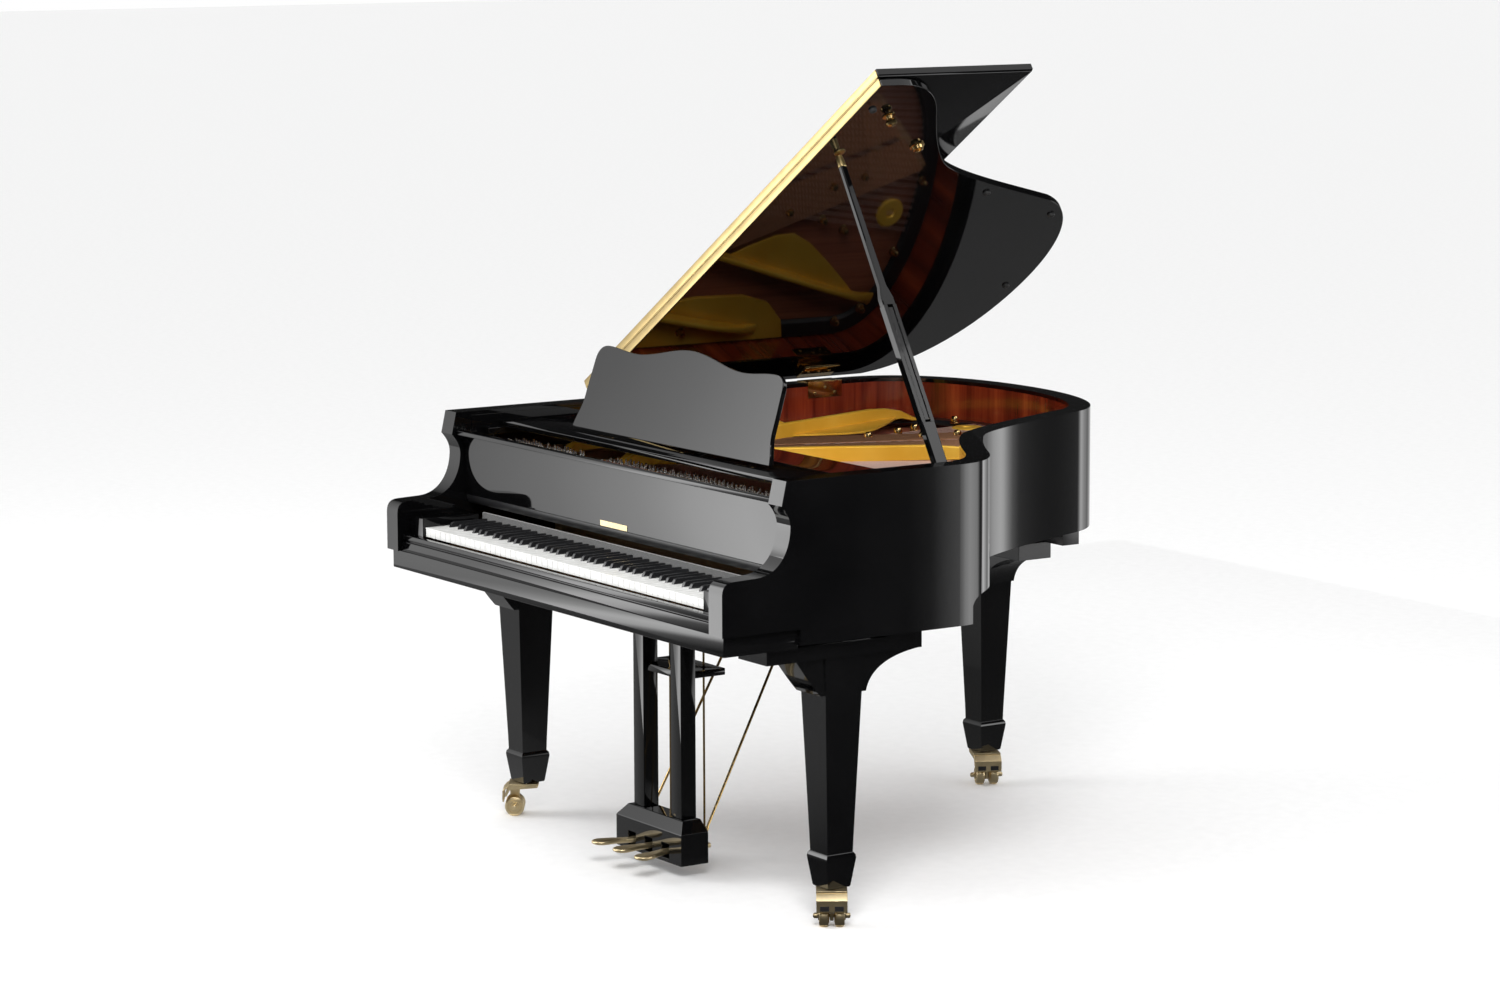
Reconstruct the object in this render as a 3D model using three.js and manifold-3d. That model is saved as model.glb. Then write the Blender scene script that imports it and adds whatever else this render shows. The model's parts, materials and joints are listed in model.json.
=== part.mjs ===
// A baby grand piano on three legs with twin-wheel casters, its lid up on the long prop stick.
// Millimetres, +Z up. Built in the case's frame: x = 0 is the middle of the keyboard (+X treble),
// y = 0 the front of the arms (+Y towards the tail), z = 0 the floor. The last lines move the origin
// to the middle of the base of the whole object's box.
import * as THREE from "three";
import { mergeVertices } from "three/addons/utils/BufferGeometryUtils.js";
import Module from "manifold-3d";

const wasm = await Module();
wasm.setup();

// ---- driving dimensions ----
const GAP = 0.3; // between pieces that rest on each other
const HALF_WIDTH = 735; // of the case
const KEY_SPAN = 1222; // 52 white keys
const TAIL_Y = 1600;
const CASE_BOTTOM = 642;
const KEYBED_BOTTOM = 634;
const POST_BOTTOM = 640;
const REAR_BOTTOM = 708; // of the bent sides, behind the front legs
const STEP_Y = 661; // where the side steps up to them
const CASE_TOP = 1000;
const RIM_FRONT = 200; // the bent rim starts behind the arms
const RIM_THICK = 36;
const LINING_THICK = 17.5;
const INNER_RIM_IN = 90; // how far the thick inner rim reaches in from the outside
const ARM_THICK = 52;
const ARM_BOTTOM = 678;
const KEYBED_BACK = 440;

const BOARD_SEAT = 868; // top of the thick inner rim, under the soundboard
const BOARD_THICK = 8;
const BRIDGE_TOP = 903;
const PLATE_BOTTOM = 890;
const PLATE_TOP = 902;
const STRUT_BOTTOM = 908;
const STRUT_TOP = 945;
const PIN_BLOCK_FRONT = 232;
const PIN_BLOCK_BACK = 352;

const LID_OPEN = THREE.MathUtils.degToRad(33);
const LID_HINGE_X = -738;
const LID_HINGE_Z = 1003;
const LID_UNDER = 1006; // underside of the closed lid
const LID_THICK = 20;
const LID_OVERHANG = 12;
const LID_BASS_EDGE = -740;
const FLAP_FRONT = 145;
const FLAP_HINGE_Y = 571.9;
const FLAP_HINGE_Z = 1027.5;
const LEAF_THICK = 1.5;

const LEG_FRONT = [654, 335];
const LEG_REAR = [-325, 1478];
const LEG_TOP_WIDE = 102;
const LEG_FOOT_WIDE = 65;
const FOOT_TOP = 160;
const LEG_BOTTOM = 83;
const CORBEL_TOP = 602;
const CORBEL_BOTTOM = 518;
const CORBEL_LEDGE = 60; // from the middle of the leg to the corbel's lower corner
const CORBEL_SHORT = 125; // reach of its front end
const CORBEL_LONG = 200; // reach of its rear end

const WHEEL_R = 24;
const WHEEL_SIDES = 24;
const CASTER_TRAIL = 32;

// ---- materials ----
const finish = (color, roughness, metalness = 0) =>
  new THREE.MeshStandardMaterial({ color, roughness, metalness });
const BLACK = finish(0x0b0b0c, 0.08);
const MAHOGANY = finish(0x6e2410, 0.25);
const SPRUCE = finish(0xc08a55, 0.45);
const BEECH = finish(0x9c7040, 0.5);
const GOLD = finish(0xd9a02b, 0.35, 0.6);
const BRASS = finish(0xd8a95c, 0.25, 1);
const STEEL = finish(0xb9a79b, 0.35, 1);
const FELT = finish(0x6d1410, 0.95);
const IVORY = finish(0xeeeeea, 0.2);
const EBONY = finish(0x111111, 0.3);

const piano = new THREE.Group();
const opened = new THREE.Group(); // everything that is on the lid
opened.position.set(LID_HINGE_X, 0, LID_HINGE_Z);
opened.rotation.y = -LID_OPEN;
piano.add(opened);

// ---- helpers ----
const box = (x0, x1, y0, y1, z0, z1) =>
  new THREE.BoxGeometry(x1 - x0, y1 - y0, z1 - z0).translate(
    (x0 + x1) / 2,
    (y0 + y1) / 2,
    (z0 + z1) / 2,
  );

const upright = (radius, z0, z1, sides, x = 0, y = 0) =>
  new THREE.CylinderGeometry(radius, radius, z1 - z0, sides)
    .rotateX(Math.PI / 2)
    .translate(x, y, (z0 + z1) / 2);

const crosswise = (radius, y0, y1, sides, x, z) =>
  new THREE.CylinderGeometry(radius, radius, y1 - y0, sides)
    .rotateY(Math.PI / sides)
    .translate(x, (y0 + y1) / 2, z);

// A square block that narrows from the top to the bottom.
const taper = (wideTop, wideBottom, z0, z1) =>
  new THREE.CylinderGeometry(
    wideTop * Math.SQRT1_2,
    wideBottom * Math.SQRT1_2,
    z1 - z0,
    4,
  )
    .rotateY(Math.PI / 4)
    .rotateX(Math.PI / 2)
    .translate(0, 0, (z0 + z1) / 2);

// A plan outline raised from z0 to z1.
const slab = (shape, z0, z1, curveSegments = 6) =>
  new THREE.ExtrudeGeometry(shape, {
    depth: z1 - z0,
    bevelEnabled: false,
    curveSegments,
  }).translate(0, 0, z0);

// A side profile, drawn as (y, z), carried across from x0 to x1.
const acrossX = (shape, x0, x1, curveSegments = 6) =>
  new THREE.ExtrudeGeometry(shape, {
    depth: x1 - x0,
    bevelEnabled: false,
    curveSegments,
  })
    .rotateY(Math.PI / 2)
    .rotateX(Math.PI / 2)
    .translate(x0, 0, 0);

const polygon = (points) => new THREE.Shape(points.map(([x, y]) => new THREE.Vector2(x, y)));

function solid(geometry) {
  const bare = geometry.clone();
  bare.deleteAttribute("normal");
  bare.deleteAttribute("uv");
  const merged = mergeVertices(bare, 1e-3);
  return new wasm.Manifold(
    new wasm.Mesh({
      numProp: 3,
      vertProperties: new Float32Array(merged.attributes.position.array),
      triVerts: new Uint32Array(merged.index.array),
    }),
  );
}

function geometryOf(made) {
  const mesh = made.getMesh();
  return new THREE.BufferGeometry()
    .setAttribute("position", new THREE.BufferAttribute(mesh.vertProperties, 3))
    .setIndex(new THREE.BufferAttribute(mesh.triVerts, 1));
}

const join = (...geometries) =>
  geometryOf(geometries.map(solid).reduce((all, one) => all.add(one)));

const cut = (geometry, ...tools) =>
  geometryOf(tools.map(solid).reduce((rest, tool) => rest.subtract(tool), solid(geometry)));

function part(name, geometry, material, parent = piano) {
  const mesh = new THREE.Mesh(geometry, material);
  mesh.name = name;
  parent.add(mesh);
  return mesh;
}

// A piece of the lid, drawn as it lies when the lid is closed.
const onLid = (name, geometry, material) =>
  part(name, geometry.translate(-LID_HINGE_X, 0, -LID_HINGE_Z), material, opened);

// ---- plan of the case ----
// From the front of the treble side, round the bend and the tail, to the front of the bass side.
function sideCurve(front) {
  const path = new THREE.Path();
  path.moveTo(HALF_WIDTH, front);
  path.lineTo(HALF_WIDTH, 620);
  path.bezierCurveTo(HALF_WIDTH, 700, 677, 752, 608, 792);
  path.bezierCurveTo(539, 832, 425, 902, 362, 966);
  path.bezierCurveTo(289, 1049, 208, 1272, 150, 1410);
  path.bezierCurveTo(90, 1530, -100, TAIL_Y, -300, TAIL_Y);
  path.bezierCurveTo(-560, TAIL_Y, -HALF_WIDTH, 1500, -HALF_WIDTH, 1330);
  path.lineTo(-HALF_WIDTH, front);
  const points = path.getPoints(9);
  return points.filter((p, i) => i === 0 || p.distanceTo(points[i - 1]) > 1);
}

// The same curve moved inwards by a distance (outwards if it is negative).
function inset(distance, front) {
  const curve = sideCurve(front);
  const moved = curve.map((p, i) => {
    const before = curve[Math.max(i - 1, 0)];
    const after = curve[Math.min(i + 1, curve.length - 1)];
    const along = new THREE.Vector2().subVectors(after, before).normalize();
    const atEnd = i === 0 || i === curve.length - 1;
    const outward = atEnd
      ? new THREE.Vector2(Math.sign(p.x), 0)
      : new THREE.Vector2(along.y, -along.x);
    return p.clone().addScaledVector(outward, -distance);
  });
  const clear = (q) => curve.every((p) => p.distanceTo(q) > Math.abs(distance) - 1);
  return moved.filter((q) => clear(q));
}

const band = (outer, inner, front) =>
  new THREE.Shape([...inset(outer, front), ...inset(inner, front).reverse()]);

// ---- case ----
// What is cut from under the rims behind the front legs, where the bottom steps up and curves away.
function rearCut(lift) {
  const shape = new THREE.Shape();
  shape.moveTo(STEP_Y, CASE_BOTTOM - 10);
  shape.lineTo(STEP_Y, REAR_BOTTOM - 26);
  shape.quadraticCurveTo(STEP_Y + 11, REAR_BOTTOM - 2, STEP_Y + 69, REAR_BOTTOM);
  shape.lineTo(TAIL_Y + 10, REAR_BOTTOM);
  shape.lineTo(TAIL_Y + 10, CASE_BOTTOM - 10);
  return acrossX(shape, -HALF_WIDTH - 10, HALF_WIDTH + 10).translate(0, 0, lift);
}
part(
  "outer_rim",
  cut(slab(band(0, RIM_THICK, RIM_FRONT), CASE_BOTTOM, CASE_TOP), rearCut(0)),
  BLACK,
);

function innerRim() {
  const outside = RIM_THICK + GAP;
  const lining = slab(
    band(outside, outside + LINING_THICK, RIM_FRONT + 5),
    BOARD_SEAT - 20,
    CASE_TOP - 2,
  );
  const seat = cut(
    slab(band(outside, INNER_RIM_IN, KEYBED_BACK + 5), CASE_BOTTOM + 4, BOARD_SEAT),
    rearCut(4),
  );
  const ledge = (side) =>
    side > 0 ? box(652, 684, 235, 560, 944, 959.5) : box(-684, -652, 235, 560, 944, 959.5);
  return join(lining, seat, ledge(1), ledge(-1));
}
part("inner_rim", innerRim(), MAHOGANY);

// Side view of an arm: a round-nosed front, a hollow S-curve and the block under the lid.
function armProfile() {
  const shape = new THREE.Shape();
  shape.moveTo(0, ARM_BOTTOM);
  shape.lineTo(RIM_FRONT - GAP, ARM_BOTTOM);
  shape.lineTo(RIM_FRONT - GAP, CASE_TOP);
  shape.lineTo(164, CASE_TOP);
  shape.lineTo(152, 947);
  shape.bezierCurveTo(168, 930, 175, 915, 174, 896);
  shape.bezierCurveTo(172, 850, 146, 801, 88, 799);
  shape.lineTo(29, 797);
  shape.quadraticCurveTo(1, 795, 0, 769);
  return shape;
}
const ARM_INSIDE = HALF_WIDTH - ARM_THICK;
part("arm_left", acrossX(armProfile(), -HALF_WIDTH, -ARM_INSIDE), BLACK);
part("arm_right", acrossX(armProfile(), ARM_INSIDE, HALF_WIDTH), BLACK);

const KEYBED_INSET = 10;
const keybedFront = HALF_WIDTH - KEYBED_INSET;
const keybedBack = HALF_WIDTH - RIM_THICK - 1;
part(
  "keybed",
  slab(
    polygon([
      [-keybedFront, KEYBED_INSET],
      [keybedFront, KEYBED_INSET],
      [keybedFront, RIM_FRONT - GAP],
      [keybedBack, RIM_FRONT - GAP],
      [keybedBack, KEYBED_BACK],
      [-keybedBack, KEYBED_BACK],
      [-keybedBack, RIM_FRONT - GAP],
      [-keybedFront, RIM_FRONT - GAP],
    ]),
    KEYBED_BOTTOM,
    ARM_BOTTOM - GAP,
  ),
  BLACK,
);

// The slip in front of the keys, with a groove under its top bar.
part(
  "key_slip",
  acrossX(
    polygon([
      [KEYBED_INSET, ARM_BOTTOM],
      [30, ARM_BOTTOM],
      [30, 718],
      [KEYBED_INSET, 718],
      [KEYBED_INSET, 706],
      [15, 705],
      [15, 702],
      [KEYBED_INSET, 701],
    ]),
    -ARM_INSIDE + 1,
    ARM_INSIDE - 1,
  ),
  BLACK,
);

const KEY_BLOCK_TOP = 762;
const keyBlock = (x0, x1) => box(x0, x1, 31, 184, ARM_BOTTOM, KEY_BLOCK_TOP);
part("key_block_left", keyBlock(-ARM_INSIDE + 1, -614), BLACK);
part("key_block_right", keyBlock(614, ARM_INSIDE - 1), BLACK);
part("front_rail", box(-ARM_INSIDE + 1, ARM_INSIDE - 1, 160, 180, 947, 957), BLACK);

// Under the case: a cross beam and two posts that meet in a block at the tail.
function backPosts() {
  const low = POST_BOTTOM;
  const high = 740;
  const crossBeam = box(-628, 628, 590, 660, low, high);
  const post = (x0, x1) =>
    slab(
      polygon([
        [x0 - 35, 655],
        [x0 + 35, 655],
        [x1 + 35, 1425],
        [x1 - 35, 1425],
      ]),
      low,
      high,
    );
  const tailBlock = box(-440, -160, 1400, 1470, low, high);
  const tailBoard = box(-440, -30, 1496, 1546, low, REAR_BOTTOM - GAP);
  const tailFill = box(-440, -160, 1466, 1500, low, REAR_BOTTOM - GAP);
  return join(crossBeam, post(-420, -380), post(180, -220), tailBlock, tailBoard, tailFill);
}
part("back_posts", backPosts(), BEECH);

// ---- legs and casters ----
// Two hollow-curved brackets, a tapered square leg and a foot block.
function leg(alongY) {
  const half = LEG_TOP_WIDE / 2 - 5;
  const bracket = new THREE.Shape();
  bracket.moveTo(-CORBEL_SHORT, CORBEL_TOP);
  bracket.quadraticCurveTo(-CORBEL_LEDGE - 30, CORBEL_TOP - 48, -CORBEL_LEDGE, CORBEL_BOTTOM);
  bracket.lineTo(CORBEL_LEDGE, CORBEL_BOTTOM);
  bracket.quadraticCurveTo(CORBEL_LEDGE + 16, CORBEL_TOP - 17, CORBEL_LONG, CORBEL_TOP - 3);
  bracket.lineTo(CORBEL_LONG, CORBEL_TOP);
  const corbels = acrossX(bracket, -half, half);
  if (!alongY) corbels.rotateZ(-Math.PI / 2);
  const shaft = taper(LEG_TOP_WIDE, LEG_FOOT_WIDE, FOOT_TOP - 4, CORBEL_TOP);
  const foot = taper(78, 60, LEG_BOTTOM, FOOT_TOP - 14);
  const footTop = taper(68, 78, FOOT_TOP - 14, FOOT_TOP);
  return [corbels, shaft, foot, footTop];
}

const plateTop = KEYBED_BOTTOM - GAP;
const PLATE_INSIDE = 600;
const PLATE_OUTSIDE = 712;
const PLATE_FRONT = 128;
const PLATE_BACK = 536;
// A front leg hangs from a long plate, thin under the keybed and thicker behind it.
function frontLeg(side) {
  const [x, y] = [side * LEG_FRONT[0], LEG_FRONT[1]];
  const x0 = Math.min(side * PLATE_INSIDE, side * PLATE_OUTSIDE) - x;
  const x1 = x0 + PLATE_OUTSIDE - PLATE_INSIDE;
  const behind = KEYBED_BACK + 1 - y;
  const thin = box(x0, x1, PLATE_FRONT - y, PLATE_BACK - y, CORBEL_TOP, plateTop);
  const thick = box(x0, x1, behind, PLATE_BACK - y, CORBEL_TOP + 1, CASE_BOTTOM - GAP);
  return join(...leg(true), thin, thick);
}
part("leg_front_left", frontLeg(-1), BLACK).position.set(-LEG_FRONT[0], LEG_FRONT[1], 0);
part("leg_front_right", frontLeg(1), BLACK).position.set(LEG_FRONT[0], LEG_FRONT[1], 0);
part(
  "leg_rear",
  join(...leg(false), box(-145, 220, -60, 40, CORBEL_TOP - 4, POST_BOTTOM - GAP)),
  BLACK,
).position.set(LEG_REAR[0], LEG_REAR[1], 0);

// The fork: a round plate, a sloping hood and the blade that carries the axle between the wheels.
function casterFork() {
  const topPlate = upright(30, 77, LEG_BOTTOM - GAP, 16);
  const hood = acrossX(
    polygon([
      [-28, 77.5],
      [-34, 54],
      [34, 54],
      [28, 77.5],
    ]),
    -26,
    50,
  );
  const blade = box(CASTER_TRAIL - 9, CASTER_TRAIL + 9, -4.5, 4.5, 13, 55);
  return cut(join(topPlate, hood, blade), crosswise(7, -8, 8, 12, CASTER_TRAIL, WHEEL_R));
}

function wheelPair() {
  const flatToFlat = WHEEL_R / Math.cos(Math.PI / WHEEL_SIDES);
  return join(
    crosswise(flatToFlat, 6, 29, WHEEL_SIDES, CASTER_TRAIL, WHEEL_R),
    crosswise(flatToFlat, -29, -6, WHEEL_SIDES, CASTER_TRAIL, WHEEL_R),
    crosswise(6, -41, 41, 12, CASTER_TRAIL, WHEEL_R),
  );
}

function caster(place, x, y, trailX, trailY) {
  const swivel = new THREE.Group();
  swivel.position.set(x, y, 0);
  swivel.rotation.z = Math.atan2(trailY, trailX);
  piano.add(swivel);
  part(`caster_fork_${place}`, casterFork(), BRASS, swivel);
  part(`caster_wheels_${place}`, wheelPair(), BRASS, swivel);
}
caster("front_left", -LEG_FRONT[0], LEG_FRONT[1], -0.55, -0.83);
caster("front_right", LEG_FRONT[0], LEG_FRONT[1], 0.83, -0.55);
caster("rear", LEG_REAR[0], LEG_REAR[1], 0.9, -0.44);

// ---- pedal lyre ----
const LYRE_BOX_BOTTOM = 31;
const LYRE_BOX_SIDE = 104;
const LYRE_BOX_TOP = 131;
const PEDAL_X = { left: -72, middle: 0, right: 72 };
const PEDAL_LOW = 51;
const PEDAL_HIGH = 59;
const PEDAL_PIVOT_Y = 330;
const ROD_Y = 380;
const ROD_LIFT_GAP = 0.8;

part("lyre_top", box(-150, 150, 240, 420, 618, plateTop), BLACK);
const pillar = (x0, x1) => box(x0, x1, 298, 338, LYRE_BOX_TOP + GAP, 618 - GAP);
part("lyre_pillar_left", pillar(-103, -58), BLACK);
part("lyre_pillar_right", pillar(58, 103), BLACK);

function pedalBox() {
  const body = box(-142, 142, 272, 346, LYRE_BOX_BOTTOM, LYRE_BOX_SIDE);
  const cap = acrossX(
    polygon([
      [272, LYRE_BOX_SIDE - 1],
      [346, LYRE_BOX_SIDE - 1],
      [340, LYRE_BOX_TOP],
      [292, LYRE_BOX_TOP],
    ]),
    -118,
    118,
  );
  const capEnds = acrossX(
    polygon([
      [272, LYRE_BOX_SIDE - 1],
      [346, LYRE_BOX_SIDE - 1],
      [344, 110],
      [280, 110],
    ]),
    -142,
    142,
  );
  const slots = Object.values(PEDAL_X).map((x) => box(x - 16, x + 16, 262, 356, 40, 74));
  return cut(join(body, cap, capEnds), ...slots);
}
part("pedal_box", pedalBox(), BLACK);

part(
  "rod_guide",
  cut(
    join(box(-102, 102, 338.3, 420, 456, 472), box(-57.5, 57.5, 303, 339, 456, 472)),
    ...Object.values(PEDAL_X).map((x) => upright(6, 450, 480, 8, x, ROD_Y)),
  ),
  BLACK,
);

// A pedal: a flat tongue that widens to a round tip, splayed away from the middle.
function pedal(name, x) {
  const tip = x * 1.3;
  const shape = new THREE.Shape();
  shape.moveTo(x + 11, 392);
  shape.lineTo(x - 11, 392);
  shape.lineTo(x - 11, 262);
  shape.quadraticCurveTo(tip - 12, 235, tip - 22, 205);
  shape.quadraticCurveTo(tip - 22, 180, tip, 180);
  shape.quadraticCurveTo(tip + 22, 180, tip + 22, 205);
  shape.quadraticCurveTo(tip + 12, 235, x + 11, 262);
  part(name, slab(shape, PEDAL_LOW, PEDAL_HIGH, 4), BRASS);
}
Object.entries(PEDAL_X).forEach(([side, x]) => {
  pedal(`pedal_${side}`, x);
  part(`pedal_rod_${side}`, upright(4, PEDAL_HIGH + ROD_LIFT_GAP, 606, 8, x, ROD_Y), BRASS);
});

function brace(side) {
  const low = new THREE.Vector3(side * 120, 351, 92);
  const high = new THREE.Vector3(side * 95, 640, 634);
  return new THREE.ExtrudeGeometry(new THREE.Shape().absarc(0, 0, 5, 0, 2 * Math.PI), {
    steps: 1,
    curveSegments: 4,
    bevelEnabled: false,
    extrudePath: new THREE.LineCurve3(low, high),
  });
}
part("lyre_brace_left", brace(-1), BRASS);
part("lyre_brace_right", brace(1), BRASS);

// ---- keyboard ----
const WHITE_PITCH = KEY_SPAN / 52;
const KEY_FRONT = 36;
const WHITE_LOW = 718;
const WHITE_HIGH = 741;
const NOTCH_FRONT = 84;
const NOTCH_BACK = 192;
const NOTCH_HALF = 6.5;
const KEY_BACK = 400;
const KEY_SLIT = 0.5;
const BALANCE_Y = 250;
const BALANCE_TOP = 717.4;
// How far each sharp sits from the line between its two white keys, for the notes A to G.
const SHARP_SHIFT = { 0: 3.5, 2: -3, 3: 3, 5: -4, 6: 0 };
const MIDDLE_SPLIT = 26; // white keys in the bass bank
const whiteEdge = (i) => -KEY_SPAN / 2 + i * WHITE_PITCH;

function sharpCentres(first, last) {
  const centres = [];
  for (let i = first; i < last - 1; i++)
    if (i % 7 in SHARP_SHIFT) centres.push(whiteEdge(i + 1) + SHARP_SHIFT[i % 7]);
  return centres;
}

// A comb of white keys joined behind the fallboard, with a notch for each sharp.
function whiteBank(first, last) {
  const points = [[whiteEdge(first) + KEY_SLIT, KEY_FRONT]];
  for (let i = first; i < last - 1; i++) {
    const edge = whiteEdge(i + 1);
    const hasSharp = i % 7 in SHARP_SHIFT;
    const centre = edge + (hasSharp ? SHARP_SHIFT[i % 7] : 0);
    points.push([edge - KEY_SLIT, KEY_FRONT]);
    if (hasSharp) {
      points.push([edge - KEY_SLIT, NOTCH_FRONT], [centre - NOTCH_HALF, NOTCH_FRONT]);
      points.push([centre - NOTCH_HALF, NOTCH_BACK], [centre + NOTCH_HALF, NOTCH_BACK]);
      points.push([centre + NOTCH_HALF, NOTCH_FRONT], [edge + KEY_SLIT, NOTCH_FRONT]);
    } else {
      points.push([edge - KEY_SLIT, NOTCH_BACK], [edge + KEY_SLIT, NOTCH_BACK]);
    }
    points.push([edge + KEY_SLIT, KEY_FRONT]);
  }
  const right = whiteEdge(last) - KEY_SLIT;
  points.push([right, KEY_FRONT], [right, KEY_BACK]);
  points.push([whiteEdge(first) + KEY_SLIT, KEY_BACK]);
  return slab(polygon(points), WHITE_LOW, WHITE_HIGH);
}

// The sharps of a bank, on a bar that runs above the white keys behind the fallboard.
function sharpBank(first, last) {
  const centres = sharpCentres(first, last);
  const bar = box(centres[0] - 5, centres[centres.length - 1] + 5, 214, 232, 746, 753);
  const stick = (x) =>
    join(
      box(x - 5, x + 5, NOTCH_FRONT + 3, NOTCH_BACK - 4, WHITE_LOW + 4, 753),
      box(x - 5, x + 5, NOTCH_BACK - 6, 216, 746, 753),
    );
  return join(bar, ...centres.map(stick));
}
part("white_keys_bass", whiteBank(0, MIDDLE_SPLIT), IVORY);
part("white_keys_treble", whiteBank(MIDDLE_SPLIT, 52), IVORY);
part("black_keys_bass", sharpBank(0, MIDDLE_SPLIT), EBONY);
part("black_keys_treble", sharpBank(MIDDLE_SPLIT, 52), EBONY);

function keyFrame() {
  const half = KEY_SPAN / 2 - 2;
  return join(
    box(-half, half, 40, 425, ARM_BOTTOM + GAP, 696),
    box(-half, half, BALANCE_Y - 6, BALANCE_Y + 6, 695, BALANCE_TOP),
  );
}
part("key_frame", keyFrame(), BEECH);

// The action that rides on the key frame, seen from the side: the stack of its brackets and levers,
// the rail behind it and the line of hammers that rises under the strings.
const ACTION_HALF = 590;
const HAMMER_TOP = 884;
const actionProfile = [
  [402, 696.3],
  [424, 696.3],
  [428, 800],
  [500, 800],
  [500, 830],
  [446, 830],
  [444, HAMMER_TOP],
  [432, HAMMER_TOP],
  [428, 830],
  [404, 820],
];
part("action", acrossX(polygon(actionProfile), -ACTION_HALF, ACTION_HALF), BEECH);

// ---- fallboard, music shelf and desk ----
part(
  "fallboard",
  acrossX(
    polygon([
      [188, 780],
      [208, 780],
      [208, 940],
      [203, 945],
      [186, 945],
      [186, 796],
    ]),
    -ARM_INSIDE + 2,
    ARM_INSIDE - 2,
  ),
  BLACK,
);

const SHELF_BACK = 545;
part("music_shelf", box(-672, 672, 277, SHELF_BACK, 960, 972), BLACK);

const DESK_HINGE = [337, 985];
const DESK_LEAN = THREE.MathUtils.degToRad(18);
// The desk's front: square feet, nearly straight sides, round shoulders and a hump in the middle.
function deskOutline() {
  const shape = new THREE.Shape();
  shape.moveTo(-420, -4);
  shape.lineTo(420, -4);
  shape.bezierCurveTo(414, 30, 399, 40, 399, 75);
  shape.bezierCurveTo(399, 110, 397, 130, 396, 158);
  shape.bezierCurveTo(396, 186, 380, 199, 350, 199);
  shape.bezierCurveTo(305, 199, 275, 191, 228, 191);
  shape.bezierCurveTo(150, 191, 80, 220, 0, 220);
  shape.bezierCurveTo(-80, 220, -150, 191, -228, 191);
  shape.bezierCurveTo(-275, 191, -305, 199, -350, 199);
  shape.bezierCurveTo(-380, 199, -396, 186, -396, 158);
  shape.bezierCurveTo(-397, 130, -399, 110, -399, 75);
  shape.bezierCurveTo(-399, 40, -414, 30, -420, -4);
  return shape;
}
const desk = new THREE.Group();
desk.position.set(0, ...DESK_HINGE);
desk.rotation.x = Math.PI / 2 - DESK_LEAN;
piano.add(desk);
part("music_desk", slab(deskOutline(), -6, 6, 5), BLACK, desk);

// The strut behind the desk, from a hinge on its back to the shelf.
const STRUT_HINGE_UP = 110;
const STRUT_HINGE_BACK = 12;
const STRUT_LENGTH = 127;
const STRUT_FALL = THREE.MathUtils.degToRad(-61);
const strut = new THREE.Group();
strut.position.set(
  0,
  DESK_HINGE[0] + STRUT_HINGE_UP * Math.sin(DESK_LEAN) + STRUT_HINGE_BACK * Math.cos(DESK_LEAN),
  DESK_HINGE[1] + STRUT_HINGE_UP * Math.cos(DESK_LEAN) - STRUT_HINGE_BACK * Math.sin(DESK_LEAN),
);
strut.rotation.x = STRUT_FALL;
piano.add(strut);
part("desk_strut", box(-14, 14, -4, STRUT_LENGTH, -3, 3), BLACK, strut);

// ---- plate, soundboard and strings ----
part(
  "soundboard",
  slab(new THREE.Shape(inset(56, 470)), BOARD_SEAT + GAP, BOARD_SEAT + GAP + BOARD_THICK),
  SPRUCE,
);

// The long bridge, a bent rib that follows the bend of the treble side.
function bridge() {
  const middle = new THREE.CatmullRomCurve3(
    [
      [540, 560],
      [430, 700],
      [270, 800],
      [150, 960],
      [60, 1140],
      [-60, 1290],
      [-230, 1370],
    ].map(([x, y]) => new THREE.Vector3(x, y, 0)),
  ).getPoints(24);
  const offset = (side) =>
    middle.map((p, i) => {
      const along = middle[Math.min(i + 1, 24)].clone().sub(middle[Math.max(i - 1, 0)]);
      along.normalize();
      return new THREE.Vector2(p.x + side * 15 * along.y, p.y - side * 15 * along.x);
    });
  return slab(
    new THREE.Shape([...offset(1), ...offset(-1).reverse()]),
    BOARD_SEAT + 2 * GAP + BOARD_THICK,
    BRIDGE_TOP,
  );
}
part("bridge", bridge(), BEECH);
part(
  "pin_block",
  box(-638, 638, PIN_BLOCK_FRONT, PIN_BLOCK_BACK, 842, PLATE_BOTTOM - GAP),
  BEECH,
);

// Front and rear ends of the plate's struts, as [x, y] pairs. The middle two spread from one foot.
const STRUT_LINES = [
  [
    [-480, 352],
    [-650, 1100],
  ],
  [
    [-228, 352],
    [-584, 1440],
  ],
  [
    [-222, 352],
    [180, 1160],
  ],
  [
    [420, 352],
    [395, 852],
  ],
];
const STRUT_HALF = 8;
const STRUT_PAD = 34;

function strutBox([[x0, y0], [x1, y1]], from, to, z0, z1, half) {
  const length = Math.hypot(x1 - x0, y1 - y0);
  return box(from, to < 0 ? length + to : to, -half, half, z0, z1)
    .rotateZ(Math.atan2(y1 - y0, x1 - x0))
    .translate(x0, y0, 0);
}
const frontPad = (line, z0, z1, half) => strutBox(line, -18, 16, z0, z1, half);
const strutLength = ([[x0, y0], [x1, y1]]) => Math.hypot(x1 - x0, y1 - y0);

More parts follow.
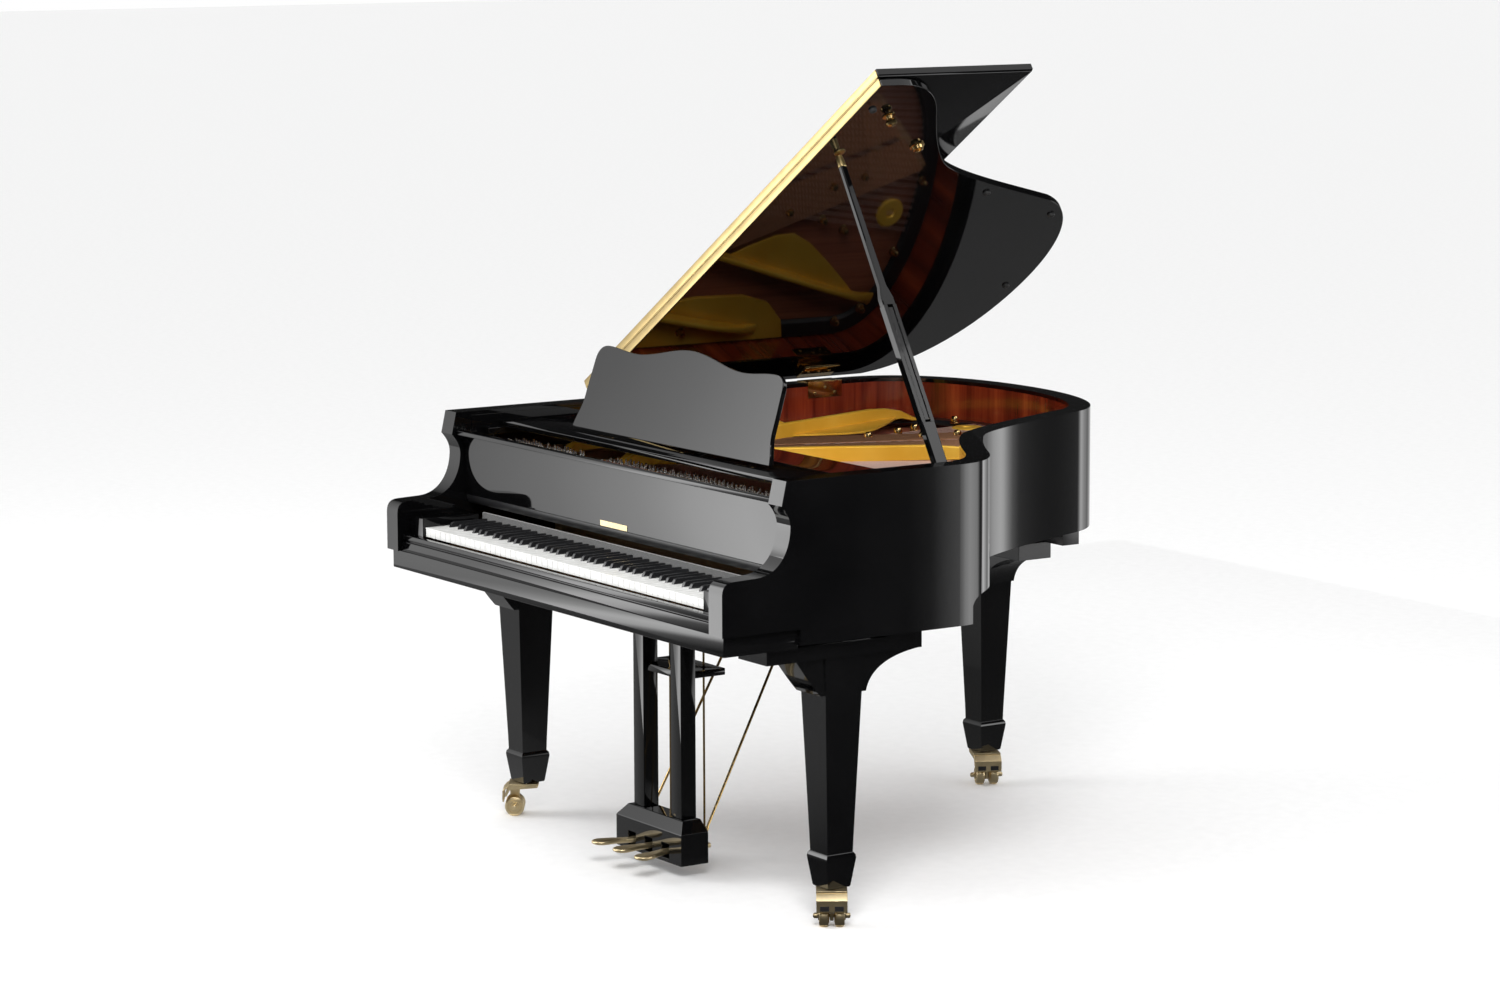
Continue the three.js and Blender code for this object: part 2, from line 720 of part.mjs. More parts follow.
function plate() {
  const flange = slab(new THREE.Shape(inset(57, PIN_BLOCK_FRONT)), PLATE_BOTTOM, PLATE_TOP);
  const window = slab(
    new THREE.Shape(inset(130, PIN_BLOCK_BACK + 22)),
    PLATE_BOTTOM - 5,
    PLATE_TOP + 5,
  );
  const struts = STRUT_LINES.map((line) => {
    const length = strutLength(line);
    return join(
      strutBox(line, -18, length, STRUT_BOTTOM, STRUT_TOP, STRUT_HALF),
      frontPad(line, PLATE_TOP - 2, STRUT_BOTTOM + 1, STRUT_HALF),
      strutBox(line, length - STRUT_PAD, length, PLATE_TOP - 2, STRUT_BOTTOM + 1, STRUT_HALF),
    );
  });
  return join(cut(flange, window), ...struts);
}
part("plate", plate(), GOLD);

// The band of strings, as one thin sheet with slots where the plate's struts come down.
function strings() {
  const sheet = slab(new THREE.Shape(inset(98, PIN_BLOCK_BACK + 26)), BRIDGE_TOP + GAP, 905);
  const slots = STRUT_LINES.map((line) => {
    const length = strutLength(line);
    return strutBox(line, length - STRUT_PAD - 4, length + 40, 900, 910, STRUT_HALF + 3);
  });
  return cut(sheet, ...slots);
}
part("strings", strings(), STEEL);

// Dampers: felts on the strings, each group on a lever, all lifted by one rail.
const DAMPER_ROOM = 20; // on each side of a strut
function dampers() {
  const felts = Array.from({ length: 30 }, (_, i) => -610 + i * 35);
  const clearOfStruts = (x) =>
    STRUT_LINES.every(([[x0, y0], [x1, y1]]) => {
      const crossing = x0 + ((x1 - x0) * (590 - y0)) / (y1 - y0);
      return Math.abs(x - crossing) > STRUT_HALF + DAMPER_ROOM;
    });
  return join(
    box(-618, 412, 584, 596, STRUT_TOP + 3, STRUT_TOP + 9),
    ...felts.filter(clearOfStruts).map((x) => box(x - 5, x + 5, 570, 610, 905.5, STRUT_TOP + 4)),
  );
}
part("dampers", dampers(), EBONY);

// ---- lid ----
// A lid outline stays flush with the hinge on the bass side and overhangs elsewhere.
const lidEdge = (front) =>
  inset(-LID_OVERHANG, front).map((p) => new THREE.Vector2(Math.max(p.x, LID_BASS_EDGE), p.y));
const lidTop = LID_UNDER + LID_THICK;
const lidFront = FLAP_HINGE_Y + GAP + LEAF_THICK + GAP;
const flapBack = FLAP_HINGE_Y - GAP - LEAF_THICK - GAP;
const treble = HALF_WIDTH + LID_OVERHANG;

onLid("lid_main", slab(new THREE.Shape(lidEdge(lidFront)), LID_UNDER, lidTop), BLACK);

// Turns a piece of the flap over the hinge, onto the top of the main lid.
const folded = (geometry) =>
  geometry
    .translate(0, -FLAP_HINGE_Y, -FLAP_HINGE_Z)
    .rotateX(Math.PI)
    .translate(0, FLAP_HINGE_Y, FLAP_HINGE_Z);
onLid(
  "lid_flap",
  folded(box(LID_BASS_EDGE, treble, FLAP_FRONT, flapBack, LID_UNDER, lidTop)),
  BLACK,
);

const leafLow = LID_UNDER + 1;
const leafHigh = lidTop - 0.5;
onLid(
  "hinge_leaf_lid",
  box(LID_BASS_EDGE, treble - 4, lidFront - GAP - LEAF_THICK, lidFront - GAP, leafLow, leafHigh),
  BRASS,
);
onLid(
  "hinge_leaf_flap",
  folded(
    box(LID_BASS_EDGE, treble - 4, flapBack + GAP, flapBack + GAP + LEAF_THICK, leafLow, leafHigh),
  ),
  BRASS,
);

// Brass butt hinges on the bass side: an angle on the rim and a leaf under the lid.
const liningFace = -(HALF_WIDTH - RIM_THICK - GAP - LINING_THICK);
const HINGE_YS = { front: [640, 744], rear: [1182, 1286] };
Object.entries(HINGE_YS).forEach(([place, [y0, y1]]) => {
  part(
    `rim_hinge_${place}`,
    join(
      box(liningFace + GAP, liningFace + GAP + 2.5, y0, y1, 961, 1002.5),
      box(-728, liningFace + GAP + 2.5, y0, y1, CASE_TOP + GAP, 1002.5),
    ),
    BRASS,
  );
  onLid(`lid_hinge_${place}`, box(-728, -676, y0, y1, 1003.4, LID_UNDER - GAP), BRASS);
});

// ---- prop stick ----
const PROP_FOOT = [655, 630, 975];
const PROP_LEAN = THREE.MathUtils.degToRad(30.7);
const PROP_LENGTH = 781;
const PROP_SLOT = [120, 400];
const BRACKET_TOP = 953;
const prop = new THREE.Group();
prop.position.set(...PROP_FOOT);
prop.rotation.y = -PROP_LEAN;
piano.add(prop);

function longProp() {
  const lower = box(-9, 9, -17, 17, -10, 430);
  const upper = box(-8, 8, -8.5, 8.5, 425, PROP_LENGTH);
  const slot = box(-5, 20, -7, 7, PROP_SLOT[0] - 4, PROP_SLOT[1] + 4);
  return cut(join(lower, upper), slot);
}
part("lid_prop", longProp(), BLACK, prop);
part("short_prop", box(-3, 8, -6, 6, ...PROP_SLOT), BLACK, prop);
part("prop_bracket", box(630, 674, 602, 652, BRACKET_TOP - 20, BRACKET_TOP), BRASS);
onLid("prop_cup", box(424, 464, 608, 652, LID_UNDER - 3.3, LID_UNDER - GAP), BRASS);

// ---- origin: the middle of the base of the whole object ----
const model = new THREE.Group();
model.add(piano);
model.updateMatrixWorld(true);
const whole = new THREE.Box3().setFromObject(model, true);
piano.position.set(
  -(whole.min.x + whole.max.x) / 2,
  -(whole.min.y + whole.max.y) / 2,
  -whole.min.z,
);

export default model;
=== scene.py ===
"""A black baby grand piano with its lid on the long prop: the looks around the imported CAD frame.

Shapes are drawn in millimetres in the case's own frame (x = 0 the middle of the keyboard, y = 0 the front
of the arms, z = 0 the floor) and placed in the row frame, in metres, by at() and on_lid().
"""

import json
import math

import bmesh
import bpy
from mathutils import Matrix, Vector


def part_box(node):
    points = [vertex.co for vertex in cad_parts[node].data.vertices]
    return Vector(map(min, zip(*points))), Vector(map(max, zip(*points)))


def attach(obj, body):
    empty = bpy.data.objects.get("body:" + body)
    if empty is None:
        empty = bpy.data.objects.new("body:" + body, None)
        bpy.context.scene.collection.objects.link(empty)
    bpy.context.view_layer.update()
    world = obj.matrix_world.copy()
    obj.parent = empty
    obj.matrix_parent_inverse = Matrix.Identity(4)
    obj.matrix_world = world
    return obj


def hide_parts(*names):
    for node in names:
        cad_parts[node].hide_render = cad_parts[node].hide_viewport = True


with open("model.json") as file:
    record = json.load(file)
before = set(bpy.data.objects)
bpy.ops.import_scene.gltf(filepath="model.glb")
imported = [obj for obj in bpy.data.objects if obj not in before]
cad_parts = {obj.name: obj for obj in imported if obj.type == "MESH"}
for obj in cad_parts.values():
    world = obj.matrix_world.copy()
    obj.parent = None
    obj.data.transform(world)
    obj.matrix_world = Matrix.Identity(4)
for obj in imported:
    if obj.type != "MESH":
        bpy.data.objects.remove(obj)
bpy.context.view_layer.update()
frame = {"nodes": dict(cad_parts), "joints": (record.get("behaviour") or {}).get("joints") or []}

MM = 0.001
JOINTS = {joint["name"]: joint for joint in frame["joints"]}

# ---- the case's frame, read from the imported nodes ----
rim_low, rim_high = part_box("outer_rim")
arm_low, arm_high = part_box("arm_left")
ORIGIN = Vector(((rim_low.x + rim_high.x) / 2, arm_low.y, 0.0))
HALF_WIDTH = (rim_high.x - rim_low.x) / 2 / MM
TAIL_Y = (rim_high.y - arm_low.y) / MM
CASE_TOP = rim_high.z / MM
CASE_BOTTOM = rim_low.z / MM
REAR_BOTTOM = 708.0
STEP_Y = 661.0
ARM_BOTTOM = arm_low.z / MM
KEYBED_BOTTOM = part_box("keybed")[0].z / MM
ARM_INSIDE = HALF_WIDTH - (arm_high.x - arm_low.x) / MM
RIM_FRONT = (rim_low.y - arm_low.y) / MM
RIM_THICK = 36.0
LINING_BACK = 53.5


def at(x, y, z):
    """A point of the case's frame, in millimetres, as a point of the row frame, in metres."""
    return ORIGIN + Vector((x, y, z)) * MM


def local_box(node):
    """A CAD node's box as (low, high) in the case's frame, in millimetres."""
    low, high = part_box(node)
    return (low - ORIGIN) / MM, (high - ORIGIN) / MM


def joint_at(name):
    """A joint's place in the case's frame, in millimetres."""
    return (Vector(JOINTS[name]["pos_m"]) - ORIGIN) / MM


# ---- the lid's frame: shapes are drawn as the lid lies when it is closed ----
slope = Vector(JOINTS["flap_hinge"]["axis"])
LID_COS, LID_SIN = slope.x, slope.z
hinge_point = joint_at("lid_hinge")
HINGE_X, HINGE_Z = hinge_point.x, hinge_point.z
LID_UNDER = HINGE_Z + 3.0
LID_TOP = LID_UNDER + 20.0
LID_OVERHANG = 12.0
LID_BASS_EDGE = HINGE_X - 2.0
flap_point = joint_at("flap_hinge")
FLAP_Y = flap_point.y
FLAP_Z = HINGE_Z + 24.5
FLAP_FRONT = 145.0
EDGE_GAP = 2.1  # from the flap's hinge line to each wooden edge


def on_lid(x, y, z):
    """A point drawn on the closed lid, turned up about the lid's hinge."""
    along, above = x - HINGE_X, z - HINGE_Z
    return at(HINGE_X + along * LID_COS - above * LID_SIN, y, HINGE_Z + along * LID_SIN + above * LID_COS)


def on_flap(x, y, z):
    """A point drawn on the closed flap, folded over onto the main lid."""
    return on_lid(x, 2 * FLAP_Y - y, 2 * FLAP_Z - z)


# ---- materials ----
def new_material(name, base, roughness, metallic=0.0):
    material = bpy.data.materials.new(name)
    material.use_nodes = True
    shader = material.node_tree.nodes["Principled BSDF"]
    shader.inputs["Base Color"].default_value = (*base, 1.0)
    shader.inputs["Roughness"].default_value = roughness
    shader.inputs["Metallic"].default_value = metallic
    return material, shader


def node(material, kind, **values):
    made = material.node_tree.nodes.new(kind)
    for key, value in values.items():
        if key in made.inputs:
            made.inputs[key].default_value = value
        else:
            setattr(made, key, value)
    return made


def link(material, source, target):
    material.node_tree.links.new(source, target)


def object_coords(material, scale=(1.0, 1.0, 1.0)):
    coords = node(material, "ShaderNodeTexCoord")
    mapping = node(material, "ShaderNodeMapping")
    mapping.inputs["Scale"].default_value = scale
    link(material, coords.outputs["Object"], mapping.inputs["Vector"])
    return mapping.outputs["Vector"]


def noise(material, vector, scale, detail=3.0, roughness=0.5):
    made = node(material, "ShaderNodeTexNoise", Scale=scale, Detail=detail, Roughness=roughness)
    link(material, vector, made.inputs["Vector"])
    return made.outputs["Fac"]


def ramp(material, value, stops):
    made = node(material, "ShaderNodeValToRGB")
    elements = made.color_ramp.elements
    while len(elements) < len(stops):
        elements.new(0.5)
    for element, (place, colour) in zip(elements, stops):
        element.position = place
        element.color = (*colour, 1.0)
    link(material, value, made.inputs["Fac"])
    return made.outputs["Color"]


def tint(material, shader, value, stops):
    link(material, ramp(material, value, stops), shader.inputs["Base Color"])


def vary_roughness(material, shader, value, low, high):
    span = node(material, "ShaderNodeMapRange")
    span.inputs["To Min"].default_value = low
    span.inputs["To Max"].default_value = high
    link(material, value, span.inputs["Value"])
    link(material, span.outputs["Result"], shader.inputs["Roughness"])


def bump(material, shader, height, strength, distance):
    made = node(material, "ShaderNodeBump", Strength=strength, Distance=distance)
    link(material, height, made.inputs["Height"])
    link(material, made.outputs["Normal"], shader.inputs["Normal"])


def black_polish():
    """Polished polyester: almost black, with the faintest ripple and a little haze."""
    material, shader = new_material("black_polish", (0.0018, 0.0018, 0.002), 0.03)
    coords = object_coords(material)
    patches = noise(material, coords, 5.0, 2.0)
    tint(material, shader, patches, [(0.3, (0.0012, 0.0012, 0.0014)), (0.7, (0.0026, 0.0026, 0.0028))])
    vary_roughness(material, shader, noise(material, coords, 9.0, 4.0), 0.02, 0.055)
    bump(material, shader, noise(material, coords, 40.0, 2.0), 0.012, 0.001)
    return material


def satin_black(name="satin_black", roughness=0.32):
    material, shader = new_material(name, (0.01, 0.01, 0.011), roughness)
    coords = object_coords(material)
    grain = noise(material, coords, 220.0, 4.0)
    vary_roughness(material, shader, grain, roughness - 0.06, roughness + 0.08)
    bump(material, shader, grain, 0.05, 0.0005)
    return material


def mahogany():
    """Ribbon-striped veneer with its grain upright, under clear gloss."""
    material, shader = new_material("mahogany", (0.3, 0.08, 0.03), 0.16)
    shader.inputs["Coat Weight"].default_value = 0.5
    shader.inputs["Coat Roughness"].default_value = 0.05
    ribbons = noise(material, object_coords(material, (15.0, 15.0, 0.9)), 1.0, 5.0, 0.62)
    fine = noise(material, object_coords(material, (150.0, 150.0, 5.0)), 1.0, 4.0, 0.6)
    mix = node(material, "ShaderNodeMath", operation="MULTIPLY_ADD")
    mix.inputs[1].default_value = 0.22
    link(material, fine, mix.inputs[0])
    link(material, ribbons, mix.inputs[2])
    stops = [(0.38, (0.040, 0.004, 0.002)), (0.55, (0.12, 0.013, 0.005))]
    stops += [(0.68, (0.22, 0.028, 0.009)), (0.82, (0.36, 0.065, 0.018))]
    tint(material, shader, mix.outputs["Value"], stops)
    vary_roughness(material, shader, fine, 0.12, 0.28)
    bump(material, shader, fine, 0.06, 0.0004)
    return material


def wood(name, dark, light, along="y", streak=60.0):
    """Plain straight-grained wood, with its grain along one axis."""
    material, shader = new_material(name, light, 0.45)
    scale = {"x": (1.2, streak, streak), "y": (streak, 1.2, streak), "z": (streak, streak, 1.2)}[along]
    grain = noise(material, object_coords(material, scale), 1.0, 5.0, 0.6)
    tint(material, shader, grain, [(0.35, dark), (0.65, light)])
    vary_roughness(material, shader, grain, 0.35, 0.55)
    bump(material, shader, grain, 0.12, 0.0006)
    return material


def gold_plate():
    """Bronze-lacquered iron: soft metallic gold with a faint cast grain."""
    material, shader = new_material("gold_iron", (0.86, 0.50, 0.06), 0.34, 0.4)
    coords = object_coords(material)
    patches = noise(material, coords, 7.0, 4.0)
    tint(material, shader, patches, [(0.3, (0.78, 0.42, 0.03)), (0.7, (0.92, 0.56, 0.07))])
    grain = noise(material, coords, 420.0, 3.0)
    vary_roughness(material, shader, grain, 0.28, 0.42)
    bump(material, shader, grain, 0.10, 0.0006)
    return material


def brass(name="brass", base=(0.83, 0.58, 0.25), roughness=(0.10, 0.24)):
    """Polished brass with faint rubbing marks and a little tarnish in its tone."""
    material, shader = new_material(name, base, roughness[0], 1.0)
    coords = object_coords(material)
    darker = tuple(channel * 0.82 for channel in base)
    tint(material, shader, noise(material, coords, 28.0, 4.0), [(0.3, darker), (0.62, base)])
    rubbed = noise(material, object_coords(material, (60.0, 900.0, 900.0)), 1.0, 3.0)
    vary_roughness(material, shader, rubbed, *roughness)
    bump(material, shader, rubbed, 0.04, 0.0002)
    return material


def wire(name, base):
    material, shader = new_material(name, base, 0.3, 0.9)
    windings = noise(material, object_coords(material, (900.0, 900.0, 900.0)), 1.0, 2.0)
    vary_roughness(material, shader, windings, 0.2, 0.42)
    return material


def felt(name, base):
    material, shader = new_material(name, base, 0.95)
    shader.inputs["Sheen Weight"].default_value = 0.6
    shader.inputs["Sheen Roughness"].default_value = 0.5
    fibres = noise(material, object_coords(material), 900.0, 4.0, 0.7)
    darker = tuple(channel * 0.6 for channel in base)
    tint(material, shader, fibres, [(0.35, darker), (0.65, base)])
    bump(material, shader, fibres, 0.5, 0.001)
    return material


def key_white():
    material, shader = new_material("white_key", (0.80, 0.80, 0.785), 0.16)
    coords = object_coords(material)
    patches = noise(material, coords, 45.0, 3.0)
    tint(material, shader, patches, [(0.3, (0.74, 0.74, 0.72)), (0.7, (0.86, 0.86, 0.845))])
    worn = noise(material, coords, 260.0, 3.0)
    vary_roughness(material, shader, worn, 0.12, 0.26)
    bump(material, shader, worn, 0.03, 0.0003)
    return material


def rubber(name, base):
    material, shader = new_material(name, base, 0.6)
    grain = noise(material, object_coords(material), 500.0, 3.0)
    vary_roughness(material, shader, grain, 0.5, 0.75)
    bump(material, shader, grain, 0.2, 0.0005)
    return material


BLACK = black_polish()
SATIN = satin_black()
SHARP = satin_black("black_key", 0.22)
MAHOGANY = mahogany()
SPRUCE = wood("soundboard_spruce", (0.20, 0.050, 0.024), (0.36, 0.11, 0.055), "y", 130.0)
PLAIN = wood("plain_wood", (0.33, 0.19, 0.09), (0.58, 0.38, 0.20), "x", 70.0)
BRIDGE_WOOD = wood("bridge_wood", (0.30, 0.15, 0.07), (0.50, 0.28, 0.13), "y", 90.0)
GOLD = gold_plate()
BRASS = brass()
PALE_BRASS = brass("hinge_brass", (0.66, 0.50, 0.23), (0.30, 0.42))
CAST_BRASS = brass("cast_brass", (0.86, 0.70, 0.42), (0.34, 0.46))
STEEL = wire("string_steel", (0.80, 0.55, 0.46))
COPPER = wire("string_copper", (0.72, 0.36, 0.20))
PIN = brass("tuning_pin", (0.62, 0.60, 0.58), (0.18, 0.3))
RED_FELT = felt("red_felt", (0.40, 0.012, 0.012))
# Near-black felt, used only behind the keys: painted shade for the dark gap under the fallboard.
GAP_SHADE_FELT = felt("gap_shade_felt", (0.012, 0.012, 0.012))
GREY_FELT = felt("damper_felt", (0.62, 0.60, 0.56))
WHITE = key_white()
RUBBER = rubber("bumper_rubber", (0.02, 0.02, 0.02))


# ---- mesh helpers ----
def mesh_of(name, shape, place=at, weld=False):
    """A mesh of (points, faces), placed, with its faces turned outwards."""
    points, faces = shape
    mesh = bpy.data.meshes.new(name)
    mesh.from_pydata([place(*p) for p in points], [], faces)
    work = bmesh.new()
    work.from_mesh(mesh)
    if weld:
        bmesh.ops.remove_doubles(work, verts=work.verts, dist=1e-6)
    bmesh.ops.recalc_face_normals(work, faces=work.faces)
    work.to_mesh(mesh)
    work.free()
    return mesh


def add_object(name, data):
    made = bpy.data.objects.new(name, data)
    bpy.context.scene.collection.objects.link(made)
    return made


def add_piece(name, mesh, body, material, replaces, bevel, segments=3, sharp=35.0):
    """Shows a mesh as a finished piece that rides on a body."""
    piece = add_object(name, mesh)
    mesh.materials.append(material)
    finish_surface(piece, bevel, segments, sharp)
    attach(piece, body)
    if replaces:
        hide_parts(*replaces)


def build(
    name, shape, body, material, place=at, replaces=(), bevel=0.0, segments=3, sharp=35.0
):
    """Makes a piece of (points, faces), with its edges rounded by a bevel in millimetres."""
    mesh = mesh_of(name, shape, place, weld=True)
    add_piece(name, mesh, body, material, replaces, bevel, segments, sharp)


def finish_surface(piece, bevel, segments, sharp):
    """Smooth shading, with rounded edges where a bevel in millimetres is asked for."""
    mesh = piece.data
    mesh.polygons.foreach_set("use_smooth", [True] * len(mesh.polygons))
    if bevel:
        round_edges(piece, bevel, segments)
    else:
        mesh.set_sharp_from_angle(angle=math.radians(sharp))


def round_edges(piece, width, segments=3):
    modifier = piece.modifiers.new("edges", "BEVEL")
    modifier.width = width * MM
    modifier.segments = segments
    modifier.limit_method = "ANGLE"
    modifier.angle_limit = math.radians(32)
    modifier.harden_normals = True
    modifier.use_clamp_overlap = True


def keep_node(name, material, bevel=1.2, segments=3):
    """Shows a CAD node as it is, with rounded edges and a full material."""
    piece = frame["nodes"][name]
    piece.data.materials.clear()
    piece.data.materials.append(material)
    piece.data.polygons.foreach_set("use_smooth", [True] * len(piece.data.polygons))
    weld = piece.modifiers.new("weld", "WELD")
    weld.merge_threshold = 1e-5
    if bevel:
        round_edges(piece, bevel, segments)


def loft(rings):
    """A closed body: faces between closed rings of points, with a cap on the first and the last."""
    count = len(rings[0])
    points = [p for ring in rings for p in ring]
    faces = []
    for r in range(len(rings) - 1):
        for i in range(count):
            j = (i + 1) % count
            faces.append((r * count + i, r * count + j, (r + 1) * count + j, (r + 1) * count + i))
    faces.append(tuple(range(count)))
    faces.append(tuple((len(rings) - 1) * count + i for i in range(count)))
    return points, faces


def merge(*shapes):
    points, faces = [], []
    for shape_points, shape_faces in shapes:
        start = len(points)
        points.extend(shape_points)
        faces.extend(tuple(start + i for i in face) for face in shape_faces)
    return points, faces


def prism(outline, z0, z1):
    return loft([[(x, y, z0) for x, y in outline], [(x, y, z1) for x, y in outline]])


def across(profile, x0, x1):
    """A (y, z) profile carried from x0 to x1."""
    return loft([[(x0, y, z) for y, z in profile], [(x1, y, z) for y, z in profile]])


def block(x0, x1, y0, y1, z0, z1):
    return prism([(x0, y0), (x1, y0), (x1, y1), (x0, y1)], z0, z1)


def frame_along(direction):
    """Two unit vectors square to a direction."""
    direction = Vector(direction).normalized()
    helper = Vector((0, 0, 1)) if abs(direction.z) < 0.9 else Vector((1, 0, 0))
    side = direction.cross(helper).normalized()
    return side, direction.cross(side)


def turned(start, direction, profile, sides=32):
    """A turned piece: profile is a list of (distance along, radius) from start."""
    direction = Vector(direction).normalized()
    side, other = frame_along(direction)
    rings = []
    for along, radius in profile:
        centre = Vector(start) + direction * along
        rings.append(
            [
                tuple(centre + (side * math.cos(a) + other * math.sin(a)) * max(radius, 0.001))
                for a in (2 * math.pi * k / sides for k in range(sides))
            ]
        )
    return loft(rings)


def rod(start, end, radius, sides=16):
    start, end = Vector(start), Vector(end)
    return turned(start, end - start, [(0, radius), ((end - start).length, radius)], sides)


def bezier(p0, p1, p2, p3, steps):
    """Points after p0 along a cubic curve."""
    made = []
    for k in range(1, steps + 1):
        t = k / steps
        s = 1 - t
        made.append(
            tuple(
                s**3 * a + 3 * s * s * t * b + 3 * s * t * t * c + t**3 * d
                for a, b, c, d in zip(p0, p1, p2, p3)
            )
        )
    return made


# ---- plan of the case ----
def side_curve(front, steps=26):
    """From the front of the treble side, round the bend and the tail, to the front of the bass side."""
    w = HALF_WIDTH
    points = [(w, front), (w, 620)]
    points += bezier((w, 620), (w, 700), (677, 752), (608, 792), steps)
    points += bezier((608, 792), (539, 832), (425, 902), (362, 966), steps)
    points += bezier((362, 966), (289, 1049), (208, 1272), (150, 1410), steps)
    points += bezier((150, 1410), (90, 1530), (-100, TAIL_Y), (-300, TAIL_Y), steps)
    points += bezier((-300, TAIL_Y), (-560, TAIL_Y), (-w, 1500), (-w, 1330), steps)
    points.append((-w, front))
    return points


def heading(curve, i):
    """The unit vector along a curve at its point i."""
    before, after = curve[max(i - 1, 0)], curve[min(i + 1, len(curve) - 1)]
    length = math.hypot(after[0] - before[0], after[1] - before[1])
    return (after[0] - before[0]) / length, (after[1] - before[1]) / length


def moved_in(distance, front, steps=26):
    """The side curve moved inwards, point for point."""
    curve = side_curve(front, steps)
    made = []
    for i, (x, y) in enumerate(curve):
        along = heading(curve, i)
        outward = (along[1], -along[0])
        if i in (0, len(curve) - 1):
            outward = (math.copysign(1, x), 0.0)
        made.append((x - outward[0] * distance, y - outward[1] * distance))
    return made


def clear_inset(distance, front, steps=14):
    """The side curve moved well inwards, without the loops that tight corners would make."""
    curve = side_curve(front, steps)
    return [
        p
        for p in moved_in(distance, front, steps)
        if all(math.dist(p, q) > abs(distance) - 1.5 for q in curve)
    ]


def swept_wall(section, front):
    """A section of (distance in, height) points carried round the case."""
    curves = {d: moved_in(d, front) for d, _ in section}
    count = len(next(iter(curves.values())))
    return loft([[(*curves[d][i], z) for d, z in section] for i in range(count)])


def on_curve(distance, fraction, front=200):
    """A point on the inset curve, by its share of the way from the treble front to the bass front."""
    curve = moved_in(distance, front)
    steps = [math.dist(a, b) for a, b in zip(curve, curve[1:])]
    goal = fraction * sum(steps)
    for (a, b), step in zip(zip(curve, curve[1:]), steps):
        if goal <= step:
            return tuple(p + (q - p) * goal / step for p, q in zip(a, b))
        goal -= step
    return curve[-1]


# ---- case ----
def arm_profile():
    nose = bezier((29, 797), (8, 796), (0, 787), (0, 766), 10)
    hollow = bezier((152, 947), (168, 930), (175, 915), (174, 896), 12)
    hollow += bezier((174, 896), (172, 850), (146, 801), (88, 799), 18)
    profile = [(0, ARM_BOTTOM), (RIM_FRONT + 6, ARM_BOTTOM), (RIM_FRONT + 6, CASE_TOP)]
    profile += [(164, CASE_TOP), (152, 947)] + hollow + [(29, 797)] + nose
    return profile


def assemble(name, shapes, body, material, replaces=(), removed=(), bevel=1.6):
    """One closed polished piece made of overlapping shapes, less the removed ones."""
    base = add_object("raw", mesh_of("raw", shapes[0]))
    tools = [(shape, "UNION") for shape in shapes[1:]] + [(shape, "DIFFERENCE") for shape in removed]
    raw = [base]
    for shape, operation in tools:
        tool = add_object("raw", mesh_of("raw", shape))
        raw.append(tool)
        modifier = base.modifiers.new("join", "BOOLEAN")
        modifier.operation = operation
        modifier.solver = "EXACT"
        modifier.object = tool
    graph = bpy.context.evaluated_depsgraph_get()
    mesh = bpy.data.meshes.new_from_object(base.evaluated_get(graph))
    for piece in raw:
        bpy.data.objects.remove(piece)
    mesh.name = name
    mesh.materials.clear()
    add_piece(name, mesh, body, material, replaces, bevel)


def rear_cut(lift):
    """What is missing under the rims behind the front legs: the bottom steps up and curves away."""
    top = REAR_BOTTOM + lift
    start = (STEP_Y, top - 26)
    curve = bezier(start, (STEP_Y + 7, top - 8), (STEP_Y + 30, top), (STEP_Y + 69, top), 14)
    profile = [(STEP_Y, CASE_BOTTOM - 10), start] + curve
    profile += [(TAIL_Y + 10, top), (TAIL_Y + 10, CASE_BOTTOM - 10)]
    return across(profile, -HALF_WIDTH - 10, HALF_WIDTH + 10)


def case_shell():
    """The polished outside of the case: bent rim with its top lip, and the two arms, without a seam."""
    lip = CASE_TOP - 9
    section = [
        (0, CASE_BOTTOM), (0, CASE_TOP), (LINING_BACK, CASE_TOP), (LINING_BACK, lip), (RIM_THICK, lip),
        (RIM_THICK, CASE_BOTTOM),
    ]
    rim = swept_wall(section, RIM_FRONT)
    left = across(arm_profile(), -HALF_WIDTH, -ARM_INSIDE)
    right = across(arm_profile(), ARM_INSIDE, HALF_WIDTH)
    assemble(
        "case_shell", [rim, left, right], "case", BLACK, replaces=["outer_rim", "arm_left", "arm_right"],
        removed=[rear_cut(0)],
    )


def inner_walls():
    lip = CASE_TOP - 9.3
    lining = [(RIM_THICK + 0.3, 850), (RIM_THICK + 0.3, lip), (LINING_BACK, lip), (LINING_BACK, 850)]
    build(
        "mahogany_lining", swept_wall(lining, FLAP_Y + 1), "case", MAHOGANY, replaces=["inner_rim"],
        bevel=0.6, segments=2,
    )
    low = CASE_BOTTOM + 4
    seat = [(RIM_THICK + 0.3, low), (RIM_THICK + 0.3, 849), (90, 867.5), (90, low)]
    assemble("inner_rim_seat", [swept_wall(seat, 446)], "case", PLAIN, removed=[rear_cut(4)])
    for side, name in ((-1, "left"), (1, "right")):
        cheek = sorted((side * (HALF_WIDTH - LINING_BACK), side * (HALF_WIDTH - RIM_THICK - 0.3)))
        runner = sorted((side * 652, side * 681))
        build(
            f"front_cheek_{name}",
            merge(
                block(*cheek, RIM_FRONT + 7, FLAP_Y + 0.5, 850, lip),
                block(*runner, 235, 560, 944, 959.4),
            ),
            "case",
            BLACK,
            bevel=1.2,
        )


PEDAL_BOX_SHOULDER = 104.0
PEDAL_SLOT = (40, 74)  # its bottom and top
PEDAL_X = (-72, 0, 72)


